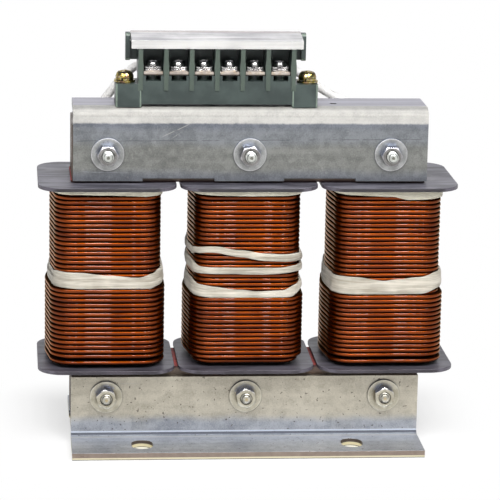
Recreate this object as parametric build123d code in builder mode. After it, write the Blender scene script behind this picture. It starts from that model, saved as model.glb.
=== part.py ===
from build123d import *
import math
import os

os.makedirs("parts", exist_ok=True)

# Three-phase line reactor. X runs along the core, +Y to the rear, Z up from the underside of the feet.
# The origin is the middle of the footprint.

# Core: three legs between two yokes, with an insulating sheet at each end of the legs
leg_width = 38.0
leg_pitch = 76.0
leg_length = 102.6
stack_depth = 38.0
yoke_height = 30.0
gap_thickness = 0.8
gap_proud = 0.4
core_lift = 11.0

# Clamps: folded sheet angles in front and below, a flat bar behind the upper yoke
clamp_thickness = 4.0
bend_radius = 2.0
lower_clamp_height = 37.0
foot_reach = 32.0
foot_slot_width = 11.6
foot_slot_length = 15.5
foot_slot_pitch = 114.0
foot_slot_inset = 15.0
upper_clamp_extra = 0.4
upper_clamp_shift = 0.8
upper_flange_depth = 32.0
upper_flange_room = 6.0
upper_face_overhang = 0.35
relief_width = 38.6
relief_height = 1.5
spare_hole_diameter = 3.8
spare_hole_x = 46.0
spare_hole_back = 12.6
rear_bar_trim = 2.0
rear_bar_height = 28.0
bar_drop = 0.2

# Studs and their hardware
stud_diameter = 6.0
stud_hole_clearance = 0.3
upper_stud_length = 68.0
lower_stud_length = 62.0
sleeve_wall = 1.0
sleeve_clearance = 0.2
washer_diameter = 18.0
washer_thickness = 1.5
nut_width = 10.0
nut_height = 5.0
thread_clearance = 0.1

# Coil formers, each a front and a rear half that meet at mid-depth
former_clearance = 0.3
former_end_clearance = 0.1
former_wall = 1.8
former_flange_overhang = 5.35
former_flange_trim = 1.0
former_flange_thickness = 2.0
former_flange_corner = 13.5
former_tube_corner = 2.0

# Windings: three full layers of round wire and a fourth on the lower part of each coil
wire_diameter = 2.45
full_layers = 3
layer_paper = 0.55
winding_clearance = 0.2
winding_corner = 13.0
winding_bottom_gap = 2.2
winding_top_gap = 1.1
fourth_layer_height = {"left": 42.3, "middle": 37.3, "right": 38.5}

# Lacing tapes round the coils; the waist's are height above the winding's bottom, height and tilt
tape_clearance = 0.15
top_tape_height = 2.6
top_tape_thickness = 0.8
waist_tape_thickness = 2.0
waist_bands = {
    "left": [(42.5, 6.9, 0.0)],
    "middle": [(59.3, 3.8, 4.4), (50.1, 3.8, 0.0), (37.5, 5.0, 0.0)],
    "right": [(38.7, 8.2, 0.0)],
}

# Winding ends: white sleeves from the rear of the coils to the terminal bars
lead_diameter = 5.0
lead_spread = 13.0
lead_bar_clearance = 0.5
lead_notch_clearance = 0.5

# Terminal block: moulded base with feet, barriers and ears for the cover
block_centre = -17.85
block_length = 108.1
block_setback = 3.0
block_depth = 19.0
block_foot_width = 13.9
block_foot_height = 12.4
block_foot_corner = 1.5
base_recess = 0.7
base_lift = 1.5
base_height = 15.3
rear_wall_thickness = 2.0
terminal_count = 6
terminal_pitch = 13.6
barrier_thickness = 2.3
barrier_bulge = 0.35
barrier_bottom = 8.9
barrier_height = 22.2
pocket_width = 8.0
pocket_height = 2.9
pocket_depth = 11.0
pocket_boss_diameter = 5.6
terminal_screw_depth = 8.0

# Terminal hardware
bar_thickness = 2.1
bar_side_clearance = 0.15
bar_front_inset = 1.6
bar_tab_width = 6.0
bar_tab_reach = 7.0
bar_slot_clearance = 0.1
terminal_screw_diameter = 4.0
terminal_screw_clearance = 0.15
terminal_screw_length = 12.0
terminal_head_diameter = 7.5
terminal_head_height = 2.6
head_bevel = 0.35
square_washer_inset = 0.3
square_washer_thickness = 1.1

# Ears, pivots and the clear cover that lifts on them
ear_span = 96.8
ear_thickness = 2.35
ear_bottom = 23.0
ear_height = 14.9
ear_reach = 7.0
ear_web_height = 9.8
pivot_diameter = 3.4
pivot_inset = 2.6
pivot_drop = 2.1
pivot_clearance = 0.08
cover_side_clearance = 0.3
cover_thickness = 1.2
cover_lip_height = 4.3
cover_lip_proud = 0.4
cover_bead_height = 1.2
cover_bead_depth = 0.6
cover_rear_overhang = 1.6
cover_barrier_clearance = 0.3
knuckle_diameter = 5.2
knuckle_width = 3.6

# Screws that hold the terminal block to the upper clamp
block_screw_pitch = 98.0
block_screw_depth = 8.0
block_screw_diameter = 5.0
block_screw_clearance = 0.25
block_head_diameter = 9.7
block_head_height = 3.6
block_flat_washer_diameter = 11.3
block_flat_washer_thickness = 1.2
block_spring_washer_diameter = 9.6
block_spring_washer_thickness = 1.3
block_nut_width = 8.0
block_nut_height = 4.0
block_screw_end = 1.2

# Heights and faces that follow from the sizes above
core_length = 2 * leg_pitch + leg_width
leg_centres = {"left": -leg_pitch, "middle": 0.0, "right": leg_pitch}
lower_yoke_top = core_lift + yoke_height
leg_bottom = lower_yoke_top + gap_thickness
leg_top = leg_bottom + leg_length
upper_yoke_bottom = leg_top + gap_thickness
upper_yoke_top = upper_yoke_bottom + yoke_height
lower_stud_height = core_lift + yoke_height / 2
upper_stud_height = upper_yoke_bottom + yoke_height / 2
core_face = stack_depth / 2
clamp_face = core_face + clamp_thickness
flange_bottom = upper_yoke_top + upper_flange_room
flange_top = flange_bottom + clamp_thickness
bend_outer_radius = bend_radius + clamp_thickness
block_front = -clamp_face + block_setback
block_back = block_front + block_depth
former_bottom = leg_bottom + former_end_clearance
former_top = leg_top - former_end_clearance
winding_bottom = former_bottom + former_flange_thickness + winding_bottom_gap
winding_top = former_top - former_flange_thickness - winding_top_gap
winding_room = former_clearance + former_wall + winding_clearance
full_room = winding_room + full_layers * wire_diameter + layer_paper
outer_room = full_room + wire_diameter
lead_depth = clamp_face + lead_bar_clearance + lead_diameter / 2
stud_places = [(x, z) for z in (lower_stud_height, upper_stud_height) for x in leg_centres.values()]


def across(y):
    # Plane across the depth at y, X to the right and Z up, which extrudes towards the front
    return Plane(origin=(0, y, 0), x_dir=(1, 0, 0), z_dir=(0, -1, 0))


def drill_along_depth(places, diameter):
    # Round holes right through along Y
    with BuildSketch(across(0)) as holes:
        with Locations(*places):
            Circle(diameter / 2)
    extrude(holes.sketch, amount=core_length, both=True, mode=Mode.SUBTRACT)


def fold(section, corner):
    # Rounds both sides of a sheet's fold, whose sharp outer corner is given
    inner = section.vertices().sort_by_distance(corner)[1]
    fillet(inner, bend_radius)
    outer = section.vertices().sort_by_distance(corner)[0]
    fillet(outer, bend_outer_radius)


# Laminated yokes and legs
stud_hole = stud_diameter + 2 * (sleeve_clearance + sleeve_wall + sleeve_clearance)

with BuildPart() as lower_yoke:
    with BuildSketch(Plane.XY.offset(core_lift)):
        Rectangle(core_length, stack_depth)
    extrude(amount=yoke_height)
    drill_along_depth([(x, lower_stud_height) for x in leg_centres.values()], stud_hole)

lower_yoke.part.label = "lower_yoke"
export_step(lower_yoke.part, "parts/lower_yoke.step")

with BuildPart() as upper_yoke:
    with BuildSketch(Plane.XY.offset(upper_yoke_bottom)):
        Rectangle(core_length, stack_depth)
    extrude(amount=yoke_height)
    drill_along_depth([(x, upper_stud_height) for x in leg_centres.values()], stud_hole)

upper_yoke.part.label = "upper_yoke"
export_step(upper_yoke.part, "parts/upper_yoke.step")

for side, x in leg_centres.items():
    with BuildPart() as leg:
        with BuildSketch(Plane.XY.offset(leg_bottom)):
            with Locations((x, 0)):
                Rectangle(leg_width, stack_depth)
        extrude(amount=leg_length)
    leg.part.label = f"leg_{side}"
    export_step(leg.part, f"parts/leg_{side}.step")

# Insulating sheets that set the magnetic gap, a little proud of the yokes
for place, height in {"lower": lower_yoke_top, "upper": leg_top}.items():
    with BuildPart() as gap_sheet:
        with BuildSketch(Plane.XY.offset(height)):
            Rectangle(core_length + 2 * gap_proud, stack_depth)
        extrude(amount=gap_thickness)
    gap_sheet.part.label = f"gap_sheet_{place}"
    export_step(gap_sheet.part, f"parts/gap_sheet_{place}.step")

# Lower clamps: angles with the foot turned outwards, slotted for the fixing bolts
foot_edge = clamp_face + foot_reach
clamp_hole = stud_diameter + 2 * stud_hole_clearance

with BuildPart() as clamp_lower_front:
    with BuildSketch(Plane.YZ) as angle:
        with BuildLine():
            Polyline(
                (-core_face, 0),
                (-core_face, lower_clamp_height),
                (-clamp_face, lower_clamp_height),
                (-clamp_face, clamp_thickness),
                (-foot_edge, clamp_thickness),
                (-foot_edge, 0),
                close=True,
            )
        make_face()
        fold(angle, (-core_face, 0))
    extrude(amount=core_length / 2, both=True)
    with BuildSketch(Plane.XY):
        with Locations((0, -(foot_edge - foot_slot_inset))):
            with GridLocations(foot_slot_pitch, 0, 2, 1):
                SlotOverall(foot_slot_length, foot_slot_width, rotation=90)
    extrude(amount=clamp_thickness, mode=Mode.SUBTRACT)
    drill_along_depth([(x, lower_stud_height) for x in leg_centres.values()], clamp_hole)

clamp_lower_front.part.label = "clamp_lower_front"
export_step(clamp_lower_front.part, "parts/clamp_lower_front.step")

with BuildPart() as clamp_lower_rear:
    add(clamp_lower_front.part)
    mirror(about=Plane.XZ, mode=Mode.REPLACE)

clamp_lower_rear.part.label = "clamp_lower_rear"
export_step(clamp_lower_rear.part, "parts/clamp_lower_rear.step")

# Upper front clamp: the face hangs over the core in three tabs, the flange runs back over it
tab_bottom = upper_yoke_bottom + upper_face_overhang
flange_rear = upper_flange_depth - clamp_face
block_screw_row = [
    (block_centre + step * block_screw_pitch / 2, block_front + block_screw_depth) for step in (-1, 1)
]
gap_between_legs = leg_pitch / 2

with BuildPart() as clamp_upper_front:
    with BuildSketch(Plane.YZ.offset(upper_clamp_shift)) as angle:
        with BuildLine():
            Polyline(
                (-clamp_face, tab_bottom),
                (-clamp_face, flange_top),
                (flange_rear, flange_top),
                (flange_rear, flange_bottom),
                (-core_face, flange_bottom),
                (-core_face, tab_bottom),
                close=True,
            )
        make_face()
        fold(angle, (-clamp_face, flange_top))
    extrude(amount=(core_length + upper_clamp_extra) / 2, both=True)
    with BuildSketch(across(-core_face)):
        with Locations((-gap_between_legs, tab_bottom), (gap_between_legs, tab_bottom)):
            Rectangle(relief_width, 2 * relief_height)
    extrude(amount=clamp_thickness, mode=Mode.SUBTRACT)
    drill_along_depth([(x, upper_stud_height) for x in leg_centres.values()], clamp_hole)
    with BuildSketch(Plane.XY.offset(flange_bottom)):
        with Locations(*block_screw_row):
            Circle(block_screw_diameter / 2 + block_screw_clearance)
        with Locations((spare_hole_x, block_front + spare_hole_back)):
            Circle(spare_hole_diameter / 2)
    extrude(amount=clamp_thickness, mode=Mode.SUBTRACT)

clamp_upper_front.part.label = "clamp_upper_front"
export_step(clamp_upper_front.part, "parts/clamp_upper_front.step")

# Flat bar behind the upper yoke
with BuildPart() as clamp_upper_rear:
    with BuildSketch(across(clamp_face)):
        with Locations((0, upper_yoke_top - bar_drop - rear_bar_height / 2)):
            Rectangle(core_length - rear_bar_trim, rear_bar_height)
    extrude(amount=clamp_thickness)
    drill_along_depth([(x, upper_stud_height) for x in leg_centres.values()], clamp_hole)

clamp_upper_rear.part.label = "clamp_upper_rear"
export_step(clamp_upper_rear.part, "parts/clamp_upper_rear.step")

# Studs through clamps and yokes, one row in each yoke, with chamfered ends
stud_rows = {
    "lower": (lower_stud_height, lower_stud_length),
    "upper": (upper_stud_height, upper_stud_length),
}
for place, (height, length) in stud_rows.items():
    with BuildPart() as studs:
        with BuildSketch(across(0)):
            with Locations(*[(x, height) for x in leg_centres.values()]):
                Circle(stud_diameter / 2)
        extrude(amount=length / 2, both=True)
        chamfer(studs.edges().filter_by(GeomType.CIRCLE), stud_diameter / 8)
    studs.part.label = f"studs_{place}"
    export_step(studs.part, f"parts/studs_{place}.step")

# Insulating sleeves on the studs, inside the yokes
with BuildPart() as stud_sleeves:
    with BuildSketch(across(0)):
        with Locations(*stud_places):
            Circle(stud_diameter / 2 + sleeve_clearance + sleeve_wall)
            Circle(stud_diameter / 2 + sleeve_clearance, mode=Mode.SUBTRACT)
    extrude(amount=core_face, both=True)

stud_sleeves.part.label = "stud_sleeves"
export_step(stud_sleeves.part, "parts/stud_sleeves.step")

# Plain washers and nuts, a row on the front and one on the rear of the clamps
thread_hole = stud_diameter / 2 + thread_clearance
washer_faces = {"front": -clamp_face, "rear": clamp_face + washer_thickness}
nut_faces = {"front": -clamp_face - washer_thickness, "rear": clamp_face + washer_thickness + nut_height}

for end, face in washer_faces.items():
    with BuildPart() as washers:
        with BuildSketch(across(face)):
            with Locations(*stud_places):
                Circle(washer_diameter / 2)
                Circle(thread_hole, mode=Mode.SUBTRACT)
        extrude(amount=washer_thickness)
    washers.part.label = f"washers_{end}"
    export_step(washers.part, f"parts/washers_{end}.step")

for end, face in nut_faces.items():
    with BuildPart() as nuts:
        with BuildSketch(across(face)):
            with Locations(*stud_places):
                RegularPolygon(nut_width / 2, 6, major_radius=False)
                Circle(thread_hole, mode=Mode.SUBTRACT)
        extrude(amount=nut_height)
    nuts.part.label = f"nuts_{end}"
    export_step(nuts.part, f"parts/nuts_{end}.step")

# Coil formers: a tube round the leg between two rounded flanges, parted at mid-depth
notch_width = lead_diameter + 2 * lead_notch_clearance


def around_leg(room):
    # Width and depth of a rectangle that stands off the leg by the room given
    return leg_width + 2 * room, stack_depth + 2 * room


def former_flange(x, height):
    width, depth = around_leg(outer_room + former_flange_overhang)
    with BuildSketch(Plane.XY.offset(height)) as flange:
        with Locations((x, 0)):
            RectangleRounded(width, depth - 2 * former_flange_trim, former_flange_corner)
            Rectangle(*around_leg(former_clearance), mode=Mode.SUBTRACT)
    extrude(flange.sketch, amount=former_flange_thickness)


for side, x in leg_centres.items():
    with BuildPart() as former:
        former_flange(x, former_bottom)
        former_flange(x, former_top - former_flange_thickness)
        with BuildSketch(Plane.XY.offset(former_bottom)):
            with Locations((x, 0)):
                RectangleRounded(*around_leg(former_clearance + former_wall), former_tube_corner)
                Rectangle(*around_leg(former_clearance), mode=Mode.SUBTRACT)
        extrude(amount=former_top - former_bottom)
        # Notches in the upper flange, where the winding ends come out at the rear
        with BuildSketch(Plane.XY.offset(former_top - former_flange_thickness)):
            for step in (-1, 1):
                with Locations((x + step * lead_spread, lead_depth)):
                    Circle(notch_width / 2)
                    Rectangle(notch_width, stack_depth, align=(Align.CENTER, Align.MIN))
        extrude(amount=former_flange_thickness, mode=Mode.SUBTRACT)
    for half, kept in {"front": Keep.TOP, "rear": Keep.BOTTOM}.items():
        with BuildPart() as bobbin:
            add(former.part)
            split(bisect_by=Plane.XZ, keep=kept)
        bobbin.part.label = f"bobbin_{side}_{half}"
        export_step(bobbin.part, f"parts/bobbin_{side}_{half}.step")


# Windings: square turns with round corners round the former's tube
def winding_ring(x, room, bottom, top):
    # The corner of each layer is rounder than the one under it by the layer's thickness
    corner = winding_corner + room - outer_room
    with BuildSketch(Plane.XY.offset(bottom)) as ring:
        with Locations((x, 0)):
            RectangleRounded(*around_leg(room), corner)
            RectangleRounded(*around_leg(winding_room), former_tube_corner, mode=Mode.SUBTRACT)
    extrude(ring.sketch, amount=top - bottom)


for side, x in leg_centres.items():
    with BuildPart() as winding:
        winding_ring(x, full_room, winding_bottom, winding_top)
        winding_ring(x, outer_room, winding_bottom, winding_bottom + fourth_layer_height[side])
    winding.part.label = f"winding_{side}"
    export_step(winding.part, f"parts/winding_{side}.step")


# Lacing tapes: flat bands that follow the winding's rounded square
def tape_band(x, bottom, height, tilt, thickness):
    lean = height * math.sin(math.radians(tilt))
    room = full_room + tape_clearance + lean
    corner = winding_corner + room - outer_room
    level = Plane(origin=(x, 0, bottom)).rotated((0, tilt, 0))
    with BuildSketch(level) as band:
        RectangleRounded(*around_leg(room + thickness), corner + thickness)
        RectangleRounded(*around_leg(room), corner, mode=Mode.SUBTRACT)
    extrude(band.sketch, amount=height)


for side, x in leg_centres.items():
    with BuildPart() as top_tape:
        tape_band(x, winding_top - top_tape_height, top_tape_height, 0, top_tape_thickness)
    top_tape.part.label = f"tape_top_{side}"
    export_step(top_tape.part, f"parts/tape_top_{side}.step")
    with BuildPart() as waist_tape:
        for bottom, height, tilt in waist_bands[side]:
            tape_band(x, winding_bottom + bottom, height, tilt, waist_tape_thickness)
    waist_tape.part.label = f"tape_waist_{side}"
    export_step(waist_tape.part, f"parts/tape_waist_{side}.step")

# Terminal block, in heights above the flange that it stands on
block_top = flange_top + barrier_bottom + barrier_height
base_bottom = flange_top + base_lift
base_top = base_bottom + base_height
base_front = block_front + base_recess
wall_front = block_back - rear_wall_thickness
terminal_row = [block_centre + terminal_pitch * (i - (terminal_count - 1) / 2) for i in range(terminal_count)]
barrier_row = [block_centre + terminal_pitch * (i - terminal_count / 2) for i in range(terminal_count + 1)]
barrier_span = terminal_pitch * terminal_count + barrier_thickness
terminal_screw_y = block_front + terminal_screw_depth
foot_centres = [block_centre + step * (block_length - block_foot_width) / 2 for step in (-1, 1)]
ear_outer = ear_span / 2
ear_inner = ear_outer - ear_thickness
ear_floor = flange_top + ear_bottom
ear_top = ear_floor + ear_height
pivot_y = block_back - pivot_inset
pivot_z = ear_top - pivot_drop
cover_half_length = ear_inner - cover_side_clearance
bar_width = terminal_pitch - barrier_thickness - 2 * barrier_bulge - 2 * bar_side_clearance


def upright_box(width, front, back, bottom, top, x=block_centre, mode=Mode.ADD):
    # A straight-sided part of the moulding, centred on x and between two depths and two heights
    with BuildSketch(Plane.XY.offset(bottom)) as outline:
        with Locations((x, (front + back) / 2)):
            Rectangle(width, back - front)
    extrude(outline.sketch, amount=top - bottom, mode=mode)


def barrier_outline(x):
    # Front view of a barrier, which swells beside the terminal
    half = barrier_thickness / 2
    bottom = flange_top + barrier_bottom
    swell = [(0.0, 0.0), (0.3, 0.0), (0.42, barrier_bulge), (0.6, barrier_bulge), (0.75, 0.0), (1.0, 0.0)]
    right = [(x + half + out, bottom + share * barrier_height) for share, out in swell]
    left = [(x - half - out, bottom + share * barrier_height) for share, out in reversed(swell)]
    Polygon(*right, *left, align=None)


def ear(step):
    # Side wall with a pivot stub on its inner face, and the web that ties it to the rear wall
    middle = block_centre + step * (ear_outer - ear_thickness / 2)
    with BuildSketch(Plane.YZ.offset(middle)) as wall:
        with Locations(((block_back - ear_reach / 2), (ear_floor + ear_top) / 2)):
            Rectangle(ear_reach, ear_height)
        fillet(wall.vertices().group_by(Axis.Y)[-1], pivot_drop)
        fillet(wall.vertices().sort_by_distance((block_back - ear_reach, ear_floor))[0], pivot_drop)
    extrude(wall.sketch, amount=ear_thickness / 2, both=True)
    web_inner = barrier_span / 2
    web_width = ear_outer - web_inner
    upright_box(
        web_width,
        wall_front,
        block_back,
        ear_floor,
        ear_floor + ear_web_height,
        x=block_centre + step * (web_inner + web_width / 2),
    )
    with BuildSketch(Plane.YZ.offset(block_centre + step * ear_inner)) as stub:
        with Locations((pivot_y, pivot_z)):
            Circle(pivot_diameter / 2)
    extrude(stub.sketch, amount=-step * (cover_side_clearance / 2 + knuckle_width))


with BuildPart() as terminal_block:
    # Two feet and the bridge between them
    with BuildSketch(Plane.XY.offset(flange_top)) as feet:
        with Locations(*[(x, (block_front + block_back) / 2) for x in foot_centres]):
            RectangleRounded(block_foot_width, block_back - block_front, block_foot_corner)
    extrude(amount=block_foot_height)
    bridge_length = block_length - 2 * block_foot_width + 2 * block_foot_corner
    upright_box(bridge_length, base_front, block_back, base_bottom, base_top)
    upright_box(barrier_span, wall_front, block_back, base_top, block_top)
    # Barriers, from just above the feet's middle to the cover
    with BuildSketch(across(block_front)):
        for x in barrier_row:
            barrier_outline(x)
    extrude(amount=wall_front - block_front, dir=(0, 1, 0))
    ear(-1)
    ear(1)
    # Pocket under each terminal with the screw's boss in it, and the slot for the bar through the rear wall
    for x in terminal_row:
        upright_box(
            pocket_width,
            block_front,
            base_front + pocket_depth,
            base_top - pocket_height,
            base_top,
            x,
            Mode.SUBTRACT,
        )
        with BuildSketch(Plane.XY.offset(base_top - pocket_height)):
            with Locations((x, terminal_screw_y)):
                Circle(pocket_boss_diameter / 2)
        extrude(amount=pocket_height)
        upright_box(
            bar_tab_width + 2 * bar_slot_clearance,
            wall_front,
            block_back,
            base_top,
            base_top + bar_thickness + bar_slot_clearance,
            x,
            Mode.SUBTRACT,
        )
    # Screw holes in the bosses and through the feet
    with BuildSketch(Plane.XY.offset(base_top)):
        with Locations(*[(x, terminal_screw_y) for x in terminal_row]):
            Circle(terminal_screw_diameter / 2 + terminal_screw_clearance)
    extrude(amount=-terminal_screw_length, mode=Mode.SUBTRACT)
    with BuildSketch(Plane.XY.offset(flange_top)):
        with Locations(*block_screw_row):
            Circle(block_screw_diameter / 2 + block_screw_clearance)
    extrude(amount=block_foot_height, mode=Mode.SUBTRACT)

terminal_block.part.label = "terminal_block"
export_step(terminal_block.part, "parts/terminal_block.step")

# Terminal bars: a wide pad under the screw and a narrow tab out through the rear wall
bar_front = block_front + bar_front_inset
bar_length = wall_front - bar_side_clearance - bar_front
tab_end = block_back + bar_tab_reach

with BuildPart() as terminal_bars:
    with BuildSketch(Plane.XY.offset(base_top)):
        for x in terminal_row:
            with Locations((x, bar_front)):
                Rectangle(bar_width, bar_length, align=(Align.CENTER, Align.MIN))
                Rectangle(bar_tab_width, tab_end - bar_front, align=(Align.CENTER, Align.MIN))
        with Locations(*[(x, terminal_screw_y) for x in terminal_row]):
            Circle(terminal_screw_diameter / 2 + terminal_screw_clearance, mode=Mode.SUBTRACT)
    extrude(amount=bar_thickness)

terminal_bars.part.label = "terminal_bars"
export_step(terminal_bars.part, "parts/terminal_bars.step")

# Two square washers on each bar
washer_floor = base_top + bar_thickness
screw_seat = washer_floor + 2 * square_washer_thickness
washer_width = bar_width - 2 * square_washer_inset

for place, level in {"lower": washer_floor, "upper": washer_floor + square_washer_thickness}.items():
    with BuildPart() as plates:
        with BuildSketch(Plane.XY.offset(level)):
            with Locations(*[(x, terminal_screw_y) for x in terminal_row]):
                Rectangle(washer_width, washer_width)
                Circle(terminal_screw_diameter / 2 + terminal_screw_clearance, mode=Mode.SUBTRACT)
        extrude(amount=square_washer_thickness)
    plates.part.label = f"terminal_washers_{place}"
    export_step(plates.part, f"parts/terminal_washers_{place}.step")


def pan_screws(places, seat, head_diameter, head_height, shank_diameter, shank_length):
    with BuildSketch(Plane.XY.offset(seat)) as heads:
        with Locations(*places):
            Circle(head_diameter / 2)
    rounds = extrude(heads.sketch, amount=head_height)
    chamfer(rounds.edges().filter_by(GeomType.CIRCLE).group_by(Axis.Z)[-1], head_height * head_bevel)
    with BuildSketch(Plane.XY.offset(seat)) as shanks:
        with Locations(*places):
            Circle(shank_diameter / 2)
    extrude(shanks.sketch, amount=-shank_length)


with BuildPart() as terminal_screws:
    pan_screws(
        [(x, terminal_screw_y) for x in terminal_row],
        screw_seat,
        terminal_head_diameter,
        terminal_head_height,
        terminal_screw_diameter,
        terminal_screw_length,
    )

terminal_screws.part.label = "terminal_screws"
export_step(terminal_screws.part, "parts/terminal_screws.step")

# Clear cover: a sloping top with a front lip, on two knuckles round the pivots
cover_front = block_front - cover_lip_proud
lip_bottom = block_top + cover_barrier_clearance
lip_top = lip_bottom + cover_lip_height
knuckle_top = pivot_z + knuckle_diameter / 2
cover_rear = pivot_y + cover_rear_overhang

with BuildPart() as terminal_cover:
    with BuildSketch(Plane.YZ.offset(block_centre)):
        with BuildLine():
            Polyline(
                (cover_front, lip_bottom),
                (cover_front, lip_top),
                (pivot_y, knuckle_top),
                (cover_rear, knuckle_top),
                (cover_rear, knuckle_top - cover_thickness),
                (pivot_y, knuckle_top - cover_thickness),
                (cover_front + cover_thickness, lip_top - cover_thickness),
                (cover_front + cover_thickness, lip_bottom + cover_bead_height),
                (cover_front + cover_thickness + cover_bead_depth, lip_bottom + cover_bead_height),
                (cover_front + cover_thickness + cover_bead_depth, lip_bottom),
                close=True,
            )
        make_face()
    extrude(amount=cover_half_length, both=True)
    for step in (-1, 1):
        with BuildSketch(Plane.YZ.offset(block_centre + step * cover_half_length)):
            with Locations((pivot_y, pivot_z)):
                Circle(knuckle_diameter / 2)
        extrude(amount=-step * knuckle_width)
        with BuildSketch(Plane.YZ.offset(block_centre + step * cover_half_length)):
            with Locations((pivot_y, pivot_z)):
                Circle(pivot_diameter / 2 + pivot_clearance)
        extrude(amount=-step * knuckle_width, mode=Mode.SUBTRACT)

terminal_cover.part.label = "terminal_cover"
export_step(terminal_cover.part, "parts/terminal_cover.step")

# Screws, washers and nuts that hold the block's feet to the flange
foot_top = flange_top + block_foot_height
spring_washer_floor = foot_top + block_flat_washer_thickness
block_screw_seat = spring_washer_floor + block_spring_washer_thickness
block_screw_length = block_screw_seat - (flange_bottom - block_nut_height - block_screw_end)

with BuildPart() as block_screws:
    pan_screws(
        block_screw_row,
        block_screw_seat,
        block_head_diameter,
        block_head_height,
        block_screw_diameter,
        block_screw_length,
    )

block_screws.part.label = "block_screws"
export_step(block_screws.part, "parts/block_screws.step")

washer_stack = {
    "flat": (foot_top, block_flat_washer_diameter, block_flat_washer_thickness),
    "spring": (spring_washer_floor, block_spring_washer_diameter, block_spring_washer_thickness),
}
for kind, (level, diameter, thickness) in washer_stack.items():
    with BuildPart() as block_washers:
        with BuildSketch(Plane.XY.offset(level)):
            with Locations(*block_screw_row):
                Circle(diameter / 2)
                Circle(block_screw_diameter / 2 + thread_clearance, mode=Mode.SUBTRACT)
        extrude(amount=thickness)
    block_washers.part.label = f"block_washers_{kind}"
    export_step(block_washers.part, f"parts/block_washers_{kind}.step")

with BuildPart() as block_nuts:
    with BuildSketch(Plane.XY.offset(flange_bottom)):
        with Locations(*block_screw_row):
            RegularPolygon(block_nut_width / 2, 6, major_radius=False)
            Circle(block_screw_diameter / 2 + thread_clearance, mode=Mode.SUBTRACT)
    extrude(amount=-block_nut_height)

block_nuts.part.label = "block_nuts"
export_step(block_nuts.part, "parts/block_nuts.step")

# Winding ends: up through the notches, behind the rear bar and forward to the tabs.
# Each bend is a share of the way across to the terminal, a depth behind the clamps' face
# and a height above the flange.
bar_middle = base_top + bar_thickness / 2
lead_bends = [
    [(0.016, 5.0, -23.2), (0.35, 6.5, -4.2), (0.754, -1.0, 15.8)],
    [(0.016, 5.0, -24.2), (0.343, 6.5, -4.2), (0.808, -1.5, 15.3)],
    [(0.034, 5.0, -24.2), (0.343, 6.5, -3.2), (0.815, -1.5, 15.8)],
    [(-0.012, 5.0, -22.2), (0.312, 6.5, -3.2), (0.79, -1.5, 15.3)],
    [(0.01, 5.0, -24.2), (0.265, 6.5, -10.2), (0.794, -0.5, 12.8)],
    [(-0.005, 5.0, -22.2), (0.151, 6.5, -10.7), (0.508, 6.0, -4.7), (0.851, -2.5, 14.8)],
]
first_run = 9.0
last_run = 8.0


def bend_radii(points):
    # The largest arc that leaves a tenth of the shorter run straight beside each corner
    radii = []
    for before, corner, after in zip(points, points[1:], points[2:]):
        arriving = Vector(*corner) - Vector(*before)
        leaving = Vector(*after) - Vector(*corner)
        turn = math.radians(arriving.get_angle(leaving))
        radii.append(0.45 * min(arriving.length, leaving.length) / math.tan(turn / 2))
    return radii


coil_exits = [x + step * lead_spread for x in leg_centres.values() for step in (-1, 1)]
for number, (start, end, bends) in enumerate(zip(coil_exits, terminal_row, lead_bends), 1):
    points = [
        (start, lead_depth, winding_top),
        (start, lead_depth, winding_top + first_run),
        *[(start + share * (end - start), clamp_face + back, flange_top + up) for share, back, up in bends],
        (end, tab_end + last_run, bar_middle),
        (end, tab_end, bar_middle),
    ]
    radii = bend_radii(points)
    with BuildPart() as lead:
        with BuildLine() as route:
            FilletPolyline(*points, radius=radii)
        path = route.wire()
        with BuildSketch(Plane(origin=path @ 0, z_dir=path % 0)) as section:
            Circle(lead_diameter / 2)
        sweep(path=path)
    ratio = round(lead.part.volume / (section.sketch.area * path.length), 4)
    radius_list = [round(radius, 1) for radius in radii]
    length = round(path.length, 1)
    print(f"lead_{number}", "length", length, "radii", radius_list, "volume ratio", ratio)
    lead.part.label = f"lead_{number}"
    export_step(lead.part, f"parts/lead_{number}.step")
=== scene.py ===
import math
import random

import bmesh
import bpy
from mathutils import Matrix, Vector, noise


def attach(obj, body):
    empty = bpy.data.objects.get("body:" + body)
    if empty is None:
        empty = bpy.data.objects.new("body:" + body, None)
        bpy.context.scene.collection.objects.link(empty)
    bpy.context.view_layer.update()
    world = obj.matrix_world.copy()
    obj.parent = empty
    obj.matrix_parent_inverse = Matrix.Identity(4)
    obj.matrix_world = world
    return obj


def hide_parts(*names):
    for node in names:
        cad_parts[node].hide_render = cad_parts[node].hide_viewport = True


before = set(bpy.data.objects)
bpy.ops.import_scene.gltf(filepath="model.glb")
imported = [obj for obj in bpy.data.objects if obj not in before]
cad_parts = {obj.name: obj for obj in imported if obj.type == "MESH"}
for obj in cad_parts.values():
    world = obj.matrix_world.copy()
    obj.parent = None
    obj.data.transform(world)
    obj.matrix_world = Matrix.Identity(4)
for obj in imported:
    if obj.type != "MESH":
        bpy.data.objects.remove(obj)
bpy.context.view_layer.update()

# Three-phase line reactor. Lengths are in mm, in the frame of the CAD model, and go to metres in the mesh;
# lamps and camera are placed in metres.
mm = 0.001
coilPitch = 76.0
coilPlace = {"left": -coilPitch, "middle": 0.0, "right": coilPitch}
studHeight = {"lower": 26.0, "upper": 160.2}
studRow = [(x, z) for z in studHeight.values() for x in coilPlace.values()]


def tone(red, green, blue):
    # A colour as a paint program shows it, 0 to 255, turned into the linear one that nodes take
    linear = []
    for share in (red / 255, green / 255, blue / 255):
        linear.append(share / 12.92 if share <= 0.04045 else ((share + 0.055) / 1.055) ** 2.4)
    return (*linear, 1.0)


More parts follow.
